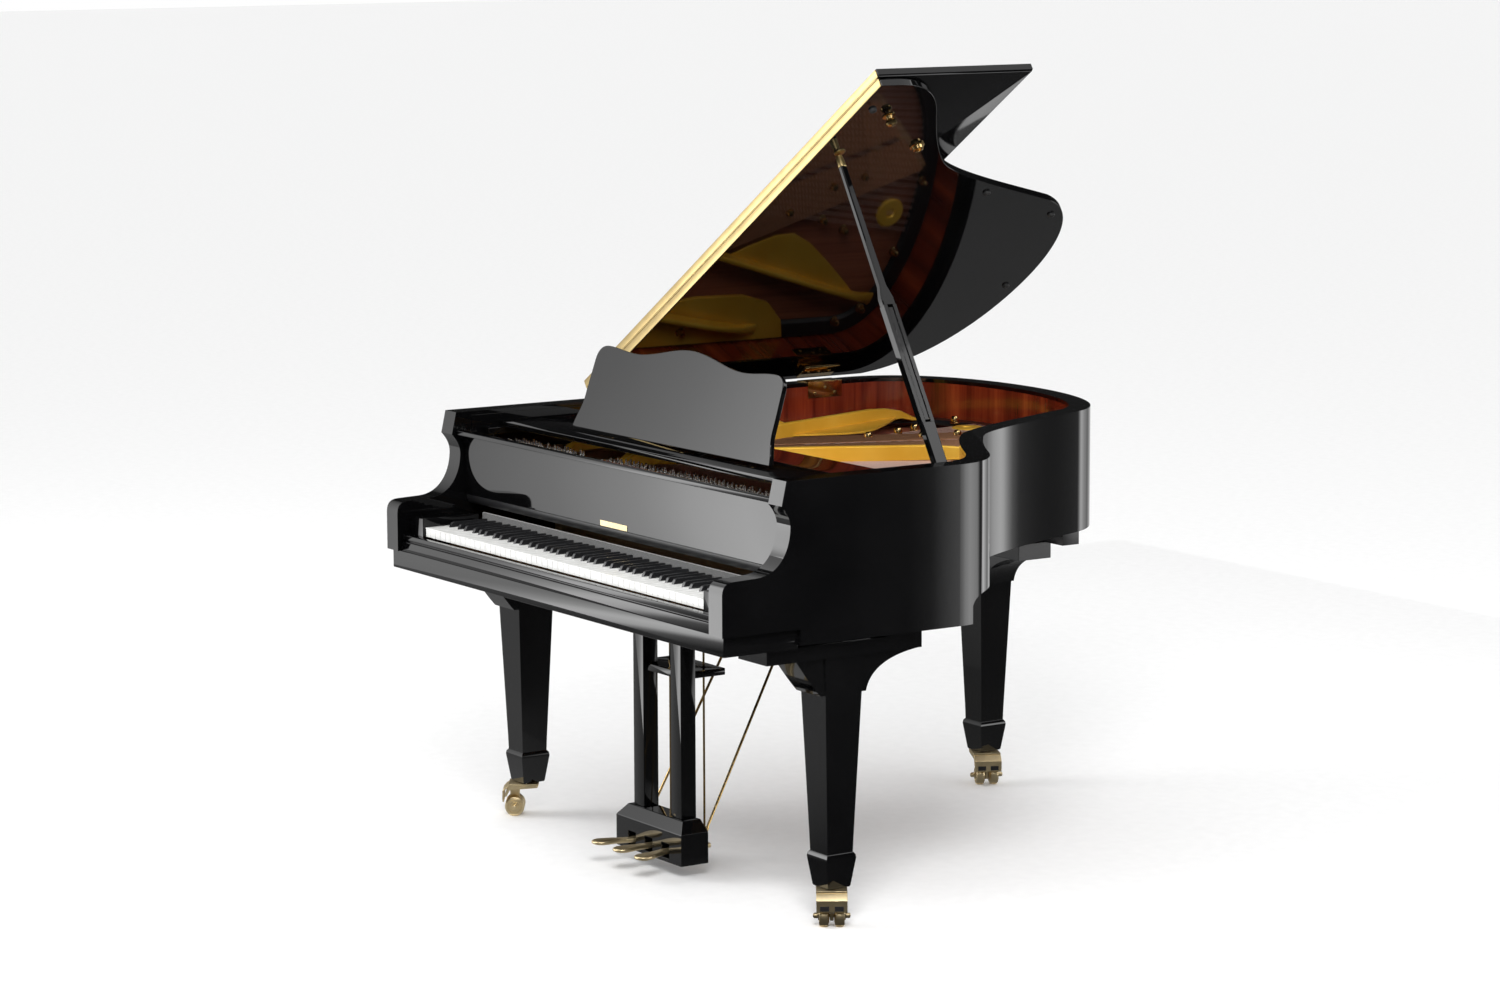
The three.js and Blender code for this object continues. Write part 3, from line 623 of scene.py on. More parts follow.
def front_parts():
    for name in ("keybed", "key_slip", "key_block_left", "key_block_right", "front_rail"):
        keep_node(name, BLACK, 1.4)
    for name in ("lyre_top", "lyre_pillar_left", "lyre_pillar_right", "rod_guide"):
        keep_node(name, BLACK, 1.8)
    pedal_box()
    keep_node("back_posts", SATIN, 2.0)
    keep_node("pin_block", PLAIN, 1.5)
    keep_node("key_frame", PLAIN, 1.5)
    keep_node("action", PLAIN, 0.0)
    keep_node("music_shelf", BLACK, 1.8)
    keep_node("desk_strut", BLACK, 1.0)


def pedal_box():
    """A box with sloping shoulders, open from front to back round each pedal."""
    low, high = local_box("pedal_box")
    rings = []
    for i, z in ((0.3, low.z), (0.3, PEDAL_BOX_SHOULDER), (24, high.z)):
        front, back = low.y + i * 0.8, high.y - i * 0.25
        rings.append(
            [(low.x + i, front, z), (high.x - i, front, z), (high.x - i, back, z), (low.x + i, back, z)],
        )
    slots = [block(x - 16, x + 16, low.y - 10, high.y + 10, *PEDAL_SLOT) for x in PEDAL_X]
    assemble("pedal_box_polished", [loft(rings)], "case", BLACK, ["pedal_box"], slots)


def fallboard():
    """A thin board with a rounded top, a darker lip above the keys and a plain badge."""
    low, high = local_box("fallboard")
    back, front = high.y, low.y
    seam = low.z + 21
    profile = [(front, seam + 1.5)]
    profile += bezier((front, high.z - 7), (front, high.z), (front + 2, high.z), (front + 8, high.z), 6)
    profile += [(back - 3, high.z), (back, high.z - 4), (back, seam), (front + 1.5, seam)]
    board = across(profile, low.x, high.x)
    build("fallboard_panel", board, "fallboard", BLACK, replaces=["fallboard"], bevel=0.5)
    lip = bezier(
        (front + 3, seam - 0.3), (front + 2.5, seam - 8), (front + 5, low.z + 4), (front + 10, low.z), 8,
    )
    lip = [(front + 3, seam - 0.3)] + lip + [(back, low.z), (back, seam - 0.3)]
    build("fallboard_lip", across(lip, low.x, high.x), "fallboard", SATIN, bevel=0.5)
    badge = block(-58, 58, front - 1.0, front - 0.05, seam + 2.5, seam + 15.5)
    build("fallboard_badge", badge, "fallboard", CAST_BRASS, bevel=0.45)


# ---- keyboard ----
WHITES = 52
KEY_SPAN = 1222.0
PITCH = KEY_SPAN / WHITES
SHARP_SHIFT = {0: 3.5, 2: -3.0, 3: 3.0, 5: -4.0, 6: 0.0}
BANKS = {"bass": (0, 26), "treble": (26, WHITES)}
KEY_FRONT, NOTCH_FRONT, KEY_END = 36.0, 84.0, 191.0


def key_edge(i):
    return -KEY_SPAN / 2 + i * PITCH


def sharp_after(i):
    """Middle of the sharp between white keys i and i + 1, or None."""
    if i < 0 or i >= WHITES - 1 or i % 7 not in SHARP_SHIFT:
        return None
    return key_edge(i + 1) + SHARP_SHIFT[i % 7]


def white_outline(i, inset):
    left, right = key_edge(i) + 0.45 + inset, key_edge(i + 1) - 0.45 - inset
    before, after = sharp_after(i - 1), sharp_after(i)
    front = KEY_FRONT + inset
    outline = [(left, front), (right, front)]
    if after is None:
        outline.append((right, KEY_END))
    else:
        x = after - 6.6 - inset
        outline += [(right, NOTCH_FRONT - inset), (x, NOTCH_FRONT - inset), (x, KEY_END)]
    if before is None:
        outline.append((left, KEY_END))
    else:
        x = before + 6.6 + inset
        outline += [(x, KEY_END), (x, NOTCH_FRONT - inset), (left, NOTCH_FRONT - inset)]
    return outline


def sharp_shape(x):
    """A sharp: narrower on top than below, with a sloping nose."""
    low, high = 724.0, 753.0
    rings = []
    for z, half, nose in ((low, 5.4, 87.0), (742.0, 5.2, 88.0), (750.5, 4.5, 92.5), (high, 3.5, 97.0)):
        rings.append([(x - half, nose, z), (x + half, nose, z), (x + half, 188.0, z), (x - half, 188.0, z)])
    return loft(rings)


def keyboard():
    for bank, (first, last) in BANKS.items():
        covers = [prism(white_outline(i, 0.0), 738.4, 741.0) for i in range(first, last)]
        fronts = [prism(white_outline(i, 0.7), 719.0, 738.3) for i in range(first, last)]
        build(
            f"white_keys_{bank}_set", merge(*covers, *fronts), f"white_{bank}", WHITE,
            replaces=[f"white_keys_{bank}"], bevel=0.5, segments=2,
        )
        sharps = [sharp_after(i) for i in range(first, last - 1)]
        build(
            f"black_keys_{bank}_set", merge(*[sharp_shape(x) for x in sharps if x is not None]),
            f"black_{bank}", SHARP, replaces=[f"black_keys_{bank}"], bevel=0.8, segments=3,
        )
    # A near-black block behind the keys: painted shade standing in for the dark gap under the fallboard.
    back = block(-612, 612, 192, 200, 700, 764)
    build("key_back_shade_felt", back, "key_frame", GAP_SHADE_FELT, bevel=1.0)


# ---- legs, casters, lyre ----
def square_ring(cx, cy, half, z):
    return [
        (cx - half, cy - half, z), (cx + half, cy - half, z), (cx + half, cy + half, z),
        (cx - half, cy + half, z),
    ]


def corbel_profile(top, bottom):
    """Side view of the brackets: a hollow curve from the plate down to the leg, in front and behind."""
    front = bezier((-125, top), (-102, top - 32), (-82, bottom + 24), (-60, bottom), 12)
    behind = bezier((60, bottom), (70, bottom + 45), (117, top - 12), (199, top - 3), 18)
    return [(-125, top)] + front + [(60, bottom)] + behind + [(199, top)]


def leg(node_name, alongside):
    low, high = local_box(node_name)
    pivot = joint_at("swivel_" + node_name.removeprefix("leg_"))
    cx, cy = pivot.x, pivot.y
    top = 602.0
    profile = corbel_profile(top, 518.0)
    if alongside:
        corbel = loft([[(cx + s * 46, cy + u, z) for u, z in profile] for s in (-1, 1)])
        plates = [
            block(low.x + 0.5, high.x - 0.5, low.y + 0.5, high.y - 0.5, top - 0.5, KEYBED_BOTTOM - 0.4),
            block(low.x + 0.5, high.x - 0.5, 441.5, high.y - 0.5, top + 1, high.z),
        ]
    else:
        corbel = loft([[(cx + u, cy + s * 46, z) for u, z in profile] for s in (-1, 1)])
        plates = [block(low.x + 0.5, high.x - 0.5, cy - 59.5, cy + 39.5, top - 3.5, high.z)]
    shaft_sizes = [(156, 33.6), (190, 34.6), (560, 49.2), (600, 50.4)]
    foot_sizes = [(low.z, 28.5), (low.z + 3, 30.0), (143, 38.2), (149, 39.0), (156, 38.0), (161, 34.4)]
    shaft, foot = (
        loft([square_ring(cx, cy, half, z) for z, half in sizes]) for sizes in (shaft_sizes, foot_sizes)
    )
    if not alongside:
        build(node_name + "_plate", merge(*plates), "case", SATIN, bevel=1.2)
        plates = []
    assemble(node_name + "_polished", [shaft, corbel, foot] + plates, "case", BLACK, replaces=[node_name])


def caster(place):
    """A brass caster: top plate, collar, folded hood with two near-black plates on its front as painted
    shade for its windows, blade, wheels and axle.
    """
    swivel = joint_at("swivel_" + place)
    roll = joint_at("roll_" + place)
    trail = Vector((roll.x - swivel.x, roll.y - swivel.y, 0)).normalized()
    side = Vector((-trail.y, trail.x, 0))
    reach = math.hypot(roll.x - swivel.x, roll.y - swivel.y)

    def spot(u, v, z):
        """u along the trail from the swivel, v across."""
        return (swivel.x + trail.x * u + side.x * v, swivel.y + trail.y * u + side.y * v, z)

    def box_at(u0, u1, v0, v1, z0, z1):
        return loft(
            [[spot(u0, v0, z), spot(u1, v0, z), spot(u1, v1, z), spot(u0, v1, z)] for z in (z0, z1)]
        )

    wide = 34
    top = box_at(-27, 46, -wide, wide, 76.5, 81.0)
    collar = turned(spot(0, 0, 79), (0, 0, 1), [(0, 20), (3.4, 19)], 32)
    body = "caster_" + place
    front_face = max(56.0, reach + roll.z + 2)
    # Two thin near-black plates on the hood's front: painted shade where the hood's windows show dark.
    window_shade_plates = [box_at(front_face + 3, front_face + 4, v - 10, v + 10, 40, 51) for v in (-16, 16)]
    build(f"caster_window_shade_{place}", merge(*window_shade_plates), body, SATIN, bevel=0.3)
    hood_arch = [(-27, 76.4), (46, 76.4), (54, 58), (56, 50), (51, 50), (43, 66), (-24, 71)]
    cheeks = [
        loft([[spot(u, v0, z) for u, z in hood_arch], [spot(u, v1, z) for u, z in hood_arch]])
        for v0, v1 in ((-wide, -31), (31, wide), (-2.6, 2.6))
    ]
    brow = []
    for u, z in ((42, 76.0), (50, 71), (front_face, 62), (front_face, 36)):
        inside = [spot(u, v, z) for v in (-wide, wide)]
        brow.append(inside + [spot(u + 3.2, v, z + 1.2) for v in (wide, -wide)])
    blade_profile = [(reach - 13, 73), (reach + 13, 73), (reach + 9, 15), (reach, 12), (reach - 9, 15)]
    blade = loft([[spot(u, v, z) for u, z in blade_profile] for v in (-4.2, 4.2)])
    build(
        f"caster_body_{place}", merge(top, collar, *cheeks, loft(brow), blade), body, CAST_BRASS,
        replaces=["caster_fork_" + place], bevel=0.8, segments=2,
    )
    radius = roll.z - 0.02
    tyre = [
        (5.5, 9), (5.5, 15), (7.0, 16.5), (7.0, radius - 4), (8.5, radius - 1.2), (11, radius),
        (24, radius), (26.5, radius - 1.2), (28, radius - 4), (28, 17), (26.5, 15.5), (26.5, 11),
        (30, 10), (30, 5),
    ]
    wheels = [turned(spot(reach, 0, roll.z), side * sign, tyre, 48) for sign in (-1, 1)]
    axle = turned(
        spot(reach, -41, roll.z), side,
        [(0, 3), (1.0, 5), (3, 6), (11, 6), (12, 4.4), (70, 4.4), (71, 6), (79, 6), (81, 5), (82, 3)], 24,
    )
    build(
        f"caster_wheel_pair_{place}", merge(*wheels, axle), "wheels_" + place, CAST_BRASS,
        replaces=["caster_wheels_" + place], sharp=28,
    )


def rounded_square(count):
    """Points round a square with well rounded corners, from -1 to 1 each way."""
    made = []
    for k in range(count):
        turn = 2 * math.pi * k / count
        made.append([math.copysign(abs(part) ** 0.6, part) for part in (math.cos(turn), math.sin(turn))])
    return made


def pedal(side):
    """A cast pedal: a rounded bar that widens to a leaf-shaped tip."""
    node_name = "pedal_" + side
    low, high = local_box(node_name)
    pivot = joint_at(f"pedal_{side}_press")
    tip_x = {"left": low.x + 22, "middle": 0.0, "right": high.x - 22}[side]
    mid_z = (low.z + high.z) / 2
    rings = []
    stations = [
        (low.y + 0.4, 1.00, 6.0, 0.35), (low.y + 3, 1.00, 13.0, 0.65), (low.y + 9, 1.00, 18.5, 0.85),
        (low.y + 19, 0.97, 21.4, 1.0), (low.y + 33, 0.88, 20.0, 1.0), (low.y + 49, 0.70, 15.6, 1.0),
        (low.y + 64, 0.46, 12.4, 1.0), (low.y + 78, 0.22, 11.0, 1.0), (low.y + 90, 0.0, 10.6, 1.0),
        (high.y - 1, 0.0, 10.6, 1.0),
    ]
    for y, splay, half, swell in stations:
        x = pivot.x + (tip_x - pivot.x) * splay
        thick = (high.z - low.z) * 0.75 * swell
        rings.append([(x + half * c, y, mid_z + thick * d) for c, d in rounded_square(20)])
    build(f"pedal_{side}_cast", loft(rings), "pedal_" + side, CAST_BRASS, replaces=[node_name], sharp=50)


def lyre_metal():
    for side in ("left", "middle", "right"):
        low, high = local_box("pedal_rod_" + side)
        x, y = (low.x + high.x) / 2, (low.y + high.y) / 2
        tall = high.z - low.z
        profile = [(0, 3), (1, 4), (9, 4), (10, 2.6), (tall - 12, 2.6), (tall - 10, 3.8), (tall, 3.8)]
        made = turned((x, y, low.z), (0, 0, 1), profile, 18)
        build(f"pedal_rod_{side}_wire", made, "rod_" + side, BRASS, replaces=["pedal_rod_" + side])
    for side, name in ((-1, "left"), (1, "right")):
        low, high = local_box("lyre_brace_" + name)
        start = Vector((side * 120, low.y + 2.5, low.z + 4.5))
        end = Vector((side * 95, high.y - 4.5, high.z - 4.5))
        length = (end - start).length
        profile = [(0, 4.4), (3, 4.9), (16, 4.9), (20, 3.2)]
        profile += [(length - 20, 3.2), (length - 16, 4.6), (length, 4.6)]
        made = turned(start, end - start, profile, 18)
        build(f"lyre_brace_{name}_rod", made, "case", BRASS, replaces=["lyre_brace_" + name])


# ---- music desk ----
DESK_LEAN = math.radians(18)


def music_desk():
    pivot = joint_at("desk_fold")
    half = [(420, -4)]
    half += bezier((420, -4), (414, 30), (399, 40), (399, 75), 10)
    half += bezier((399, 75), (399, 110), (397, 130), (396, 158), 8)
    half += bezier((396, 158), (396, 186), (380, 199), (350, 199), 10)
    half += bezier((350, 199), (305, 199), (275, 191), (228, 191), 10)
    half += bezier((228, 191), (150, 191), (80, 220), (0, 220), 16)
    outline = half + [(-x, u) for x, u in reversed(half[:-1])]

    def on_desk(x, u, out):
        """u up the desk, out towards the player."""
        return at(
            x, pivot.y + u * math.sin(DESK_LEAN) - out * math.cos(DESK_LEAN),
            pivot.z + u * math.cos(DESK_LEAN) + out * math.sin(DESK_LEAN),
        )

    board = loft([[(x, u, out) for x, u in outline] for out in (-6, 6)])
    build(
        "music_desk_board", board, "music_desk", BLACK,
        place=on_desk, replaces=["music_desk"], bevel=2.2, segments=4,
    )
    for x in (-300, 0, 300):
        knuckle = turned((x - 30, 2, -9.0), (1, 0, 0), [(0, 3), (60, 3)], 16)
        leaf = block(x - 30, x + 30, 3, 26, -7.6, -6.1)
        build(f"desk_hinge_{x + 300}", merge(knuckle, leaf), "music_desk", BRASS, place=on_desk)


# ---- inside of the case ----
PLATE_TOP = local_box("plate")[0].z + 12.0
STRING_Z = local_box("strings")[0].z + 2.5
STRUT_LINES = [
    ((-480, 352), (-650, 1100)), ((-228, 352), (-584, 1440)), ((-222, 352), (180, 1160)),
    ((420, 352), (395, 852)),
]
STRUT_FOOT = 26.0
BASS_FLANGE = [
    (-676, 560), (-610, 640), (-562, 760), (-545, 900), (-548, 1040), (-572, 1120), (-625, 1172),
    (-676, 1188),
]
BASS_WEB = [
    (-424, 950), (-398, 1010), (-372, 1085), (-370, 1140), (-400, 1195), (-455, 1262), (-530, 1345),
    (-560, 1372),
]
NUTS = [(-309, 1109), (-339, 1220), (-243, 1225), (-219, 1313), (-371, 1293), (-444, 1470), (-606, 1411)]


def strut(line):
    """A tall bar, wider at its feet, with a rounded top edge."""
    (x0, y0), (x1, y1) = line
    length = math.hypot(x1 - x0, y1 - y0)
    ux, uy = (x1 - x0) / length, (y1 - y0) / length
    stations = [
        (-20, 18, 3), (0, 15, 22), (30, 11, 38), (90, 9, 43), (length / 2, 8, 43), (length - 190, 8, 42),
    ]
    stations += [(length - 120, 9, 37), (length - 60, 11, 26), (length - 20, 15, 10), (length, 20, 2)]
    rings = []
    for along, half, tall in stations:
        cx, cy = x0 + ux * along, y0 + uy * along
        under = PLATE_TOP - 3 if along < STRUT_FOOT or along > length - STRUT_FOOT else PLATE_TOP + 6
        under = min(under, PLATE_TOP + tall - 4)
        section = [
            (half, under), (half * 0.85, PLATE_TOP + tall - 3), (half * 0.4, PLATE_TOP + tall),
            (-half * 0.4, PLATE_TOP + tall), (-half * 0.85, PLATE_TOP + tall - 3), (-half, under),
        ]
        rings.append([(cx - uy * v, cy + ux * v, z) for v, z in section])
    return loft(rings)


def plate():
    """The gold plate: a dark rim round the edge, a pin field in front, webs and tall struts."""
    low = PLATE_TOP - 12
    section = [(57, low), (57, PLATE_TOP), (96, PLATE_TOP), (104, low + 4), (104, low)]
    build("plate_rim", swept_wall(section, 376), "case", SATIN, bevel=1.2)
    field = prism([(-676, 234), (676, 234), (676, 374), (-676, 374)], low, PLATE_TOP)
    nose = across(
        [(340, PLATE_TOP - 1), (343, PLATE_TOP + 9), (358, PLATE_TOP + 9), (364, PLATE_TOP - 1)], -640, 640
    )
    flat = prism(BASS_FLANGE, low + 0.5, PLATE_TOP + 1)
    foot = [(-424 - (y - 950) * 0.327, y) for y in (1372, 1262, 1140, 1010, 950)]
    web = prism(BASS_WEB + foot, PLATE_TOP + 7, PLATE_TOP + 12)
    parts = [field, nose, flat, web] + [strut(line) for line in STRUT_LINES]
    build("gold_plate", merge(*parts), "case", GOLD, replaces=["plate"], bevel=1.2)
    dome = [(0, 13), (3, 13), (4, 10), (14, 10), (19, 7), (21, 0)]
    bolts = [turned((x, y, PLATE_TOP - 1), (0, 0, 1), dome, 24) for x, y in NUTS]
    for k in range(6):
        x, y = on_curve(96, 0.10 + 0.14 * k)
        bolts.append(turned((x, y, PLATE_TOP - 1), (0, 0, 1), dome, 6))
    build("plate_bolts", merge(*bolts), "case", BRASS, bevel=0.6)
    boss = [(0, 40), (5, 40), (8, 36), (8, 14), (4, 11), (4, 0)]
    build("plate_boss", turned((-330, 1425, PLATE_TOP - 2), (0, 0, 1), boss, 40), "case", GOLD)
    felt_band = across(
        [
            (365, PLATE_TOP - 0.5), (365, PLATE_TOP + 4), (373, PLATE_TOP + 4), (373, PLATE_TOP - 0.5),
        ], -640, 640
    )
    build("stringing_felt", felt_band, "case", RED_FELT)


TENOR_NOTES = 66
BASS_NOTES = 26
BASS_BRIDGE = [(-205, 1490), (-140, 1432), (-75, 1366), (-12, 1302)]


def string_ends():
    """Each string as (front x, rear x, rear y, rear height, is it wound)."""
    made = []
    for note in range(TENOR_NOTES):
        share = note / (TENOR_NOTES - 1)
        front = 630 - 850 * share
        rear = on_curve(108, 0.125 + 0.45 * share**0.9)
        for k in (-1, 0, 1):
            made.append((front + 4.2 * k, rear[0] + 4.2 * k, rear[1], STRING_Z - 1.6, False))
    (x0, y0), (x1, y1) = BASS_BRIDGE[0], BASS_BRIDGE[-1]
    for note in range(BASS_NOTES):
        share = note / (BASS_NOTES - 1)
        front = -625 + 300 * share
        for k in (-0.5, 0.5):
            rear_x = x0 + (x1 - x0) * share + 5 * k
            made.append((front + 6 * k, rear_x, y0 + (y1 - y0) * share, STRING_Z, True))
    return made


def near_strut(x, y):
    for (x0, y0), (x1, y1) in STRUT_LINES:
        crossing = x0 + (x1 - x0) * (y - y0) / (y1 - y0)
        if y0 - 30 < y < y1 + 10 and abs(x - crossing) < 11:
            return True
    return False


def strings():
    """Strings from the nose of the plate to the hitch pins, and their ends up to the tuning pins."""
    plain, wound, pins = [], [], []
    for front, rear_x, rear_y, height, is_wound in string_ends():
        if near_strut(front, 372):
            continue
        start = (front, 352, PLATE_TOP + 9.5)
        end = (rear_x, rear_y, height)
        group, radius = (wound, 1.5) if is_wound else (plain, 0.8)
        group.append(rod(start, end, radius, 5))
        pin_y = 250 + (len(pins) * 17) % 75
        pin = [(0, 3.4), (22, 3.4), (23, 2.8), (34, 2.6), (35, 1.2)]
        pins.append(turned((front, pin_y, PLATE_TOP - 2), (0, -0.05, 1), pin, 10))
        group.append(rod((front, pin_y, PLATE_TOP + 12), start, 0.9, 4))
    build("treble_strings", merge(*plain), "case", STEEL, replaces=["strings"], sharp=80)
    build("bass_strings", merge(*wound), "case", COPPER, sharp=80)
    build("tuning_pins", merge(*pins), "case", PIN, sharp=40)


def soundboard():
    board = prism(clear_inset(56, 470), *(local_box("soundboard")[k].z for k in (0, 1)))
    build("soundboard_panel", board, "case", SPRUCE, replaces=["soundboard"], bevel=1.0)
    ribs = []
    for k in range(7):
        y = 690 + 105 * k
        left, right = -600 + 12 * k, [560, 400, 300, 240, 190, 150, 90][k]
        ribs.append(block(left, right, y, y + 22, 848, 868.1))
    build("soundboard_ribs", merge(*ribs), "case", SPRUCE, bevel=2.0)


def bridge_curve(controls, steps=12):
    made = [controls[0]]
    for a, b, c, d in zip([controls[0]] + controls, controls, controls[1:], controls[2:] + [controls[-1]]):
        p1 = tuple(q + (r - p) / 6 for p, q, r in zip(a, b, c))
        p2 = tuple(q - (r - p) / 6 for p, q, r in zip(b, c, d))
        made += bezier(b, p1, p2, c, steps)
    return made


def bridges():
    low, high = local_box("bridge")
    long_bridge = [(540, 560), (430, 700), (270, 800), (150, 960), (60, 1140), (-60, 1290), (-230, 1370)]

    def rib(controls, half, z0, z1):
        curve = bridge_curve(controls)
        rings = []
        for i, (x, y) in enumerate(curve):
            ux, uy = heading(curve, i)
            section = [
                (-half, z0), (-half, z1 - 6), (-half + 5, z1), (half - 5, z1), (half, z1 - 6), (half, z0),
            ]
            rings.append([(x - uy * v, y + ux * v, z) for v, z in section])
        return loft(rings)

    build(
        "long_bridge", rib(long_bridge, 15, low.z, high.z), "case", BRIDGE_WOOD, replaces=["bridge"],
        bevel=0.8,
    )
    build("bass_bridge", rib(BASS_BRIDGE, 17, low.z, high.z + 1), "case", BRIDGE_WOOD, bevel=0.8)


def dampers():
    """Damper heads in a row across the strings, each a black block over one felt wedge."""
    low, high = local_box("dampers")
    heads, felts = [], []
    y = (low.y + high.y) / 2
    x = low.x + 4
    while x < high.x - 4:
        if not near_strut(x, y):
            base = low.z + 7
            heads.append(block(x - 4.2, x + 4.2, y - 19, y + 19, base + 3, base + 19))
            heads.append(rod((x, y, base + 19), (x, y, base + 30), 1.5, 8))
            wedge = [(y - 19, base + 3), (y + 19, base + 3), (y + 18, base - 6), (y - 18, base - 6)]
            felts.append(across(wedge, x - 3.6, x + 3.6))
        x += 15.6
    build(
        "damper_heads", merge(*heads), "dampers", SATIN, replaces=["dampers"],
        bevel=0.6, segments=2,
    )
    build("damper_felts", merge(*felts), "dampers", GREY_FELT)


def back_rail():
    """Belly rail behind the action, which closes the space under the pin block."""
    build("belly_rail", block(-610, 610, 446, 462, 700, 866), "case", PLAIN, bevel=1.5)


# ---- lid ----
def edge_rings(outline_at, z0, z1):
    """Rings up a moulded edge: square below, with a small step and a rounded top."""
    tall = z1 - z0
    steps = [(0.8, 0.0), (0.0, 0.8), (0.0, tall - 5.5), (0.9, tall - 4.4), (2.4, tall - 1.6), (5.0, tall)]
    return [[(x, y, z0 + up) for x, y in outline_at(inward)] for inward, up in steps]


def main_lid():
    front = FLAP_Y + EDGE_GAP

    def outline_at(inward):
        curve = [(max(x, LID_BASS_EDGE + inward), y) for x, y in moved_in(inward - LID_OVERHANG, front)]
        for end in (0, -1):
            curve[end] = (curve[end][0], curve[end][1] + inward)
        return curve

    rings = edge_rings(outline_at, LID_UNDER, LID_TOP)
    build(
        "main_lid_panel", loft(rings), "lid", BLACK, place=on_lid, replaces=["lid_main"], bevel=0.5,
        segments=2,
    )


def rectangle(x0, x1, y0, y1, inward):
    return [(x0 + inward, y0 + inward), (x1 - inward, y0 + inward), (x1 - inward, y1), (x0 + inward, y1)]


def lid_flap():
    treble = HALF_WIDTH + LID_OVERHANG
    back = FLAP_Y - EDGE_GAP
    rings = edge_rings(
        lambda inward: rectangle(LID_BASS_EDGE, treble, FLAP_FRONT, back, inward), LID_UNDER, LID_TOP
    )
    build(
        "front_flap_panel", loft(rings), "flap", BLACK, place=on_flap, replaces=["lid_flap"], bevel=0.6,
        segments=2,
    )
    stop = []
    for z, inward in ((LID_UNDER - 0.1, 0), (LID_UNDER - 5, 1)):
        ring = rectangle(treble - 42, treble - 8, 300, 345 - inward, inward)
        stop.append([(x, y, z) for x, y in ring])
    build("flap_corner_stop", loft(stop), "flap", SATIN, place=on_flap, bevel=1.5)


def long_hinge():
    for name in ("hinge_leaf_lid", "hinge_leaf_flap"):
        keep_node(name, PALE_BRASS, 0.4, 2)
    treble = HALF_WIDTH + LID_OVERHANG - 8
    pitch = 24
    knuckles = []
    x = LID_BASS_EDGE + 1
    while x < treble - 8:
        long = min(x + pitch, treble) - x
        profile = [(0, 1.6), (0.5, 2.0), (long - 1.1, 2.0), (long - 0.6, 1.6)]
        knuckles.append(turned((x, FLAP_Y + 1.7, FLAP_Z), (1, 0, 0), profile, 12))
        x += pitch
    build("long_hinge_knuckles", merge(*knuckles), "lid", PALE_BRASS, place=on_lid)


def screw(x, y, z, direction, radius=4.0):
    """A countersunk screw head standing slightly proud."""
    return turned((x, y, z), direction, [(0, radius), (0.7, radius), (1.4, radius * 0.7), (1.6, 0)], 20)


def butt_hinges():
    for name in ("front", "rear"):
        keep_node("rim_hinge_" + name, BRASS, 0.5, 2)
        keep_node("lid_hinge_" + name, BRASS, 0.5, 2)
        low, high = local_box("rim_hinge_" + name)
        middle = (low.y + high.y) / 2
        heads = [screw(high.x, middle + dy, z, (1, 0, 0)) for dy, z in ((0, 986), (-30, 972), (30, 972))]
        build(f"rim_hinge_screws_{name}", merge(*heads), "case", PALE_BRASS)
        lid_heads = [screw(-700, middle + dy, LID_UNDER - 2.7, (0, 0, -1), 3.6) for dy in (-32, 0, 32)]
        build(f"lid_hinge_screws_{name}", merge(*lid_heads), "lid", PALE_BRASS, place=on_lid)


def lid_fittings():
    """Under the lid: rubber bumpers, a brass knob and two brass cups for the prop."""
    bumper = [(0, 9), (4, 9), (6, 7.5), (6.6, 4), (5.0, 3.4), (5.0, 0)]
    spots = [(957, 1189), (825, 1466), (453, 1565), (1380, 610)]
    shapes = [turned((HINGE_X + s, y, LID_UNDER), (0, 0, -1), bumper, 24) for s, y in spots]
    build("lid_bumpers", merge(*shapes), "lid", RUBBER, place=on_lid)
    knob = [(0, 15), (2, 15), (3, 8), (9, 6.5), (13, 11), (19, 13), (24, 10), (26, 0)]
    knob_shape = turned((HINGE_X + 1349, 672, LID_UNDER), (0, 0, -1), knob, 32)
    cup = [(0, 18), (3, 18), (4, 14), (11, 12.5), (12, 9), (5, 7.5), (5, 0)]
    cup_shape = turned((HINGE_X + 1205, 836, LID_UNDER), (0, 0, -1), cup, 32)
    build("lid_brass_fittings", merge(knob_shape, cup_shape), "lid", BRASS, place=on_lid)
    low_cup = turned(
        (HINGE_X + 1192, 630, LID_UNDER - 0.2), (0, 0, -1), [(0, 13), (2.6, 13), (3.2, 11), (3.2, 0)], 32,
    )
    build("prop_cup_plate", low_cup, "lid", PALE_BRASS, place=on_lid, replaces=["prop_cup"], bevel=0.4)


# ---- prop ----
PROP_LEAN = math.radians(30.7)
PROP_LENGTH = 781.0


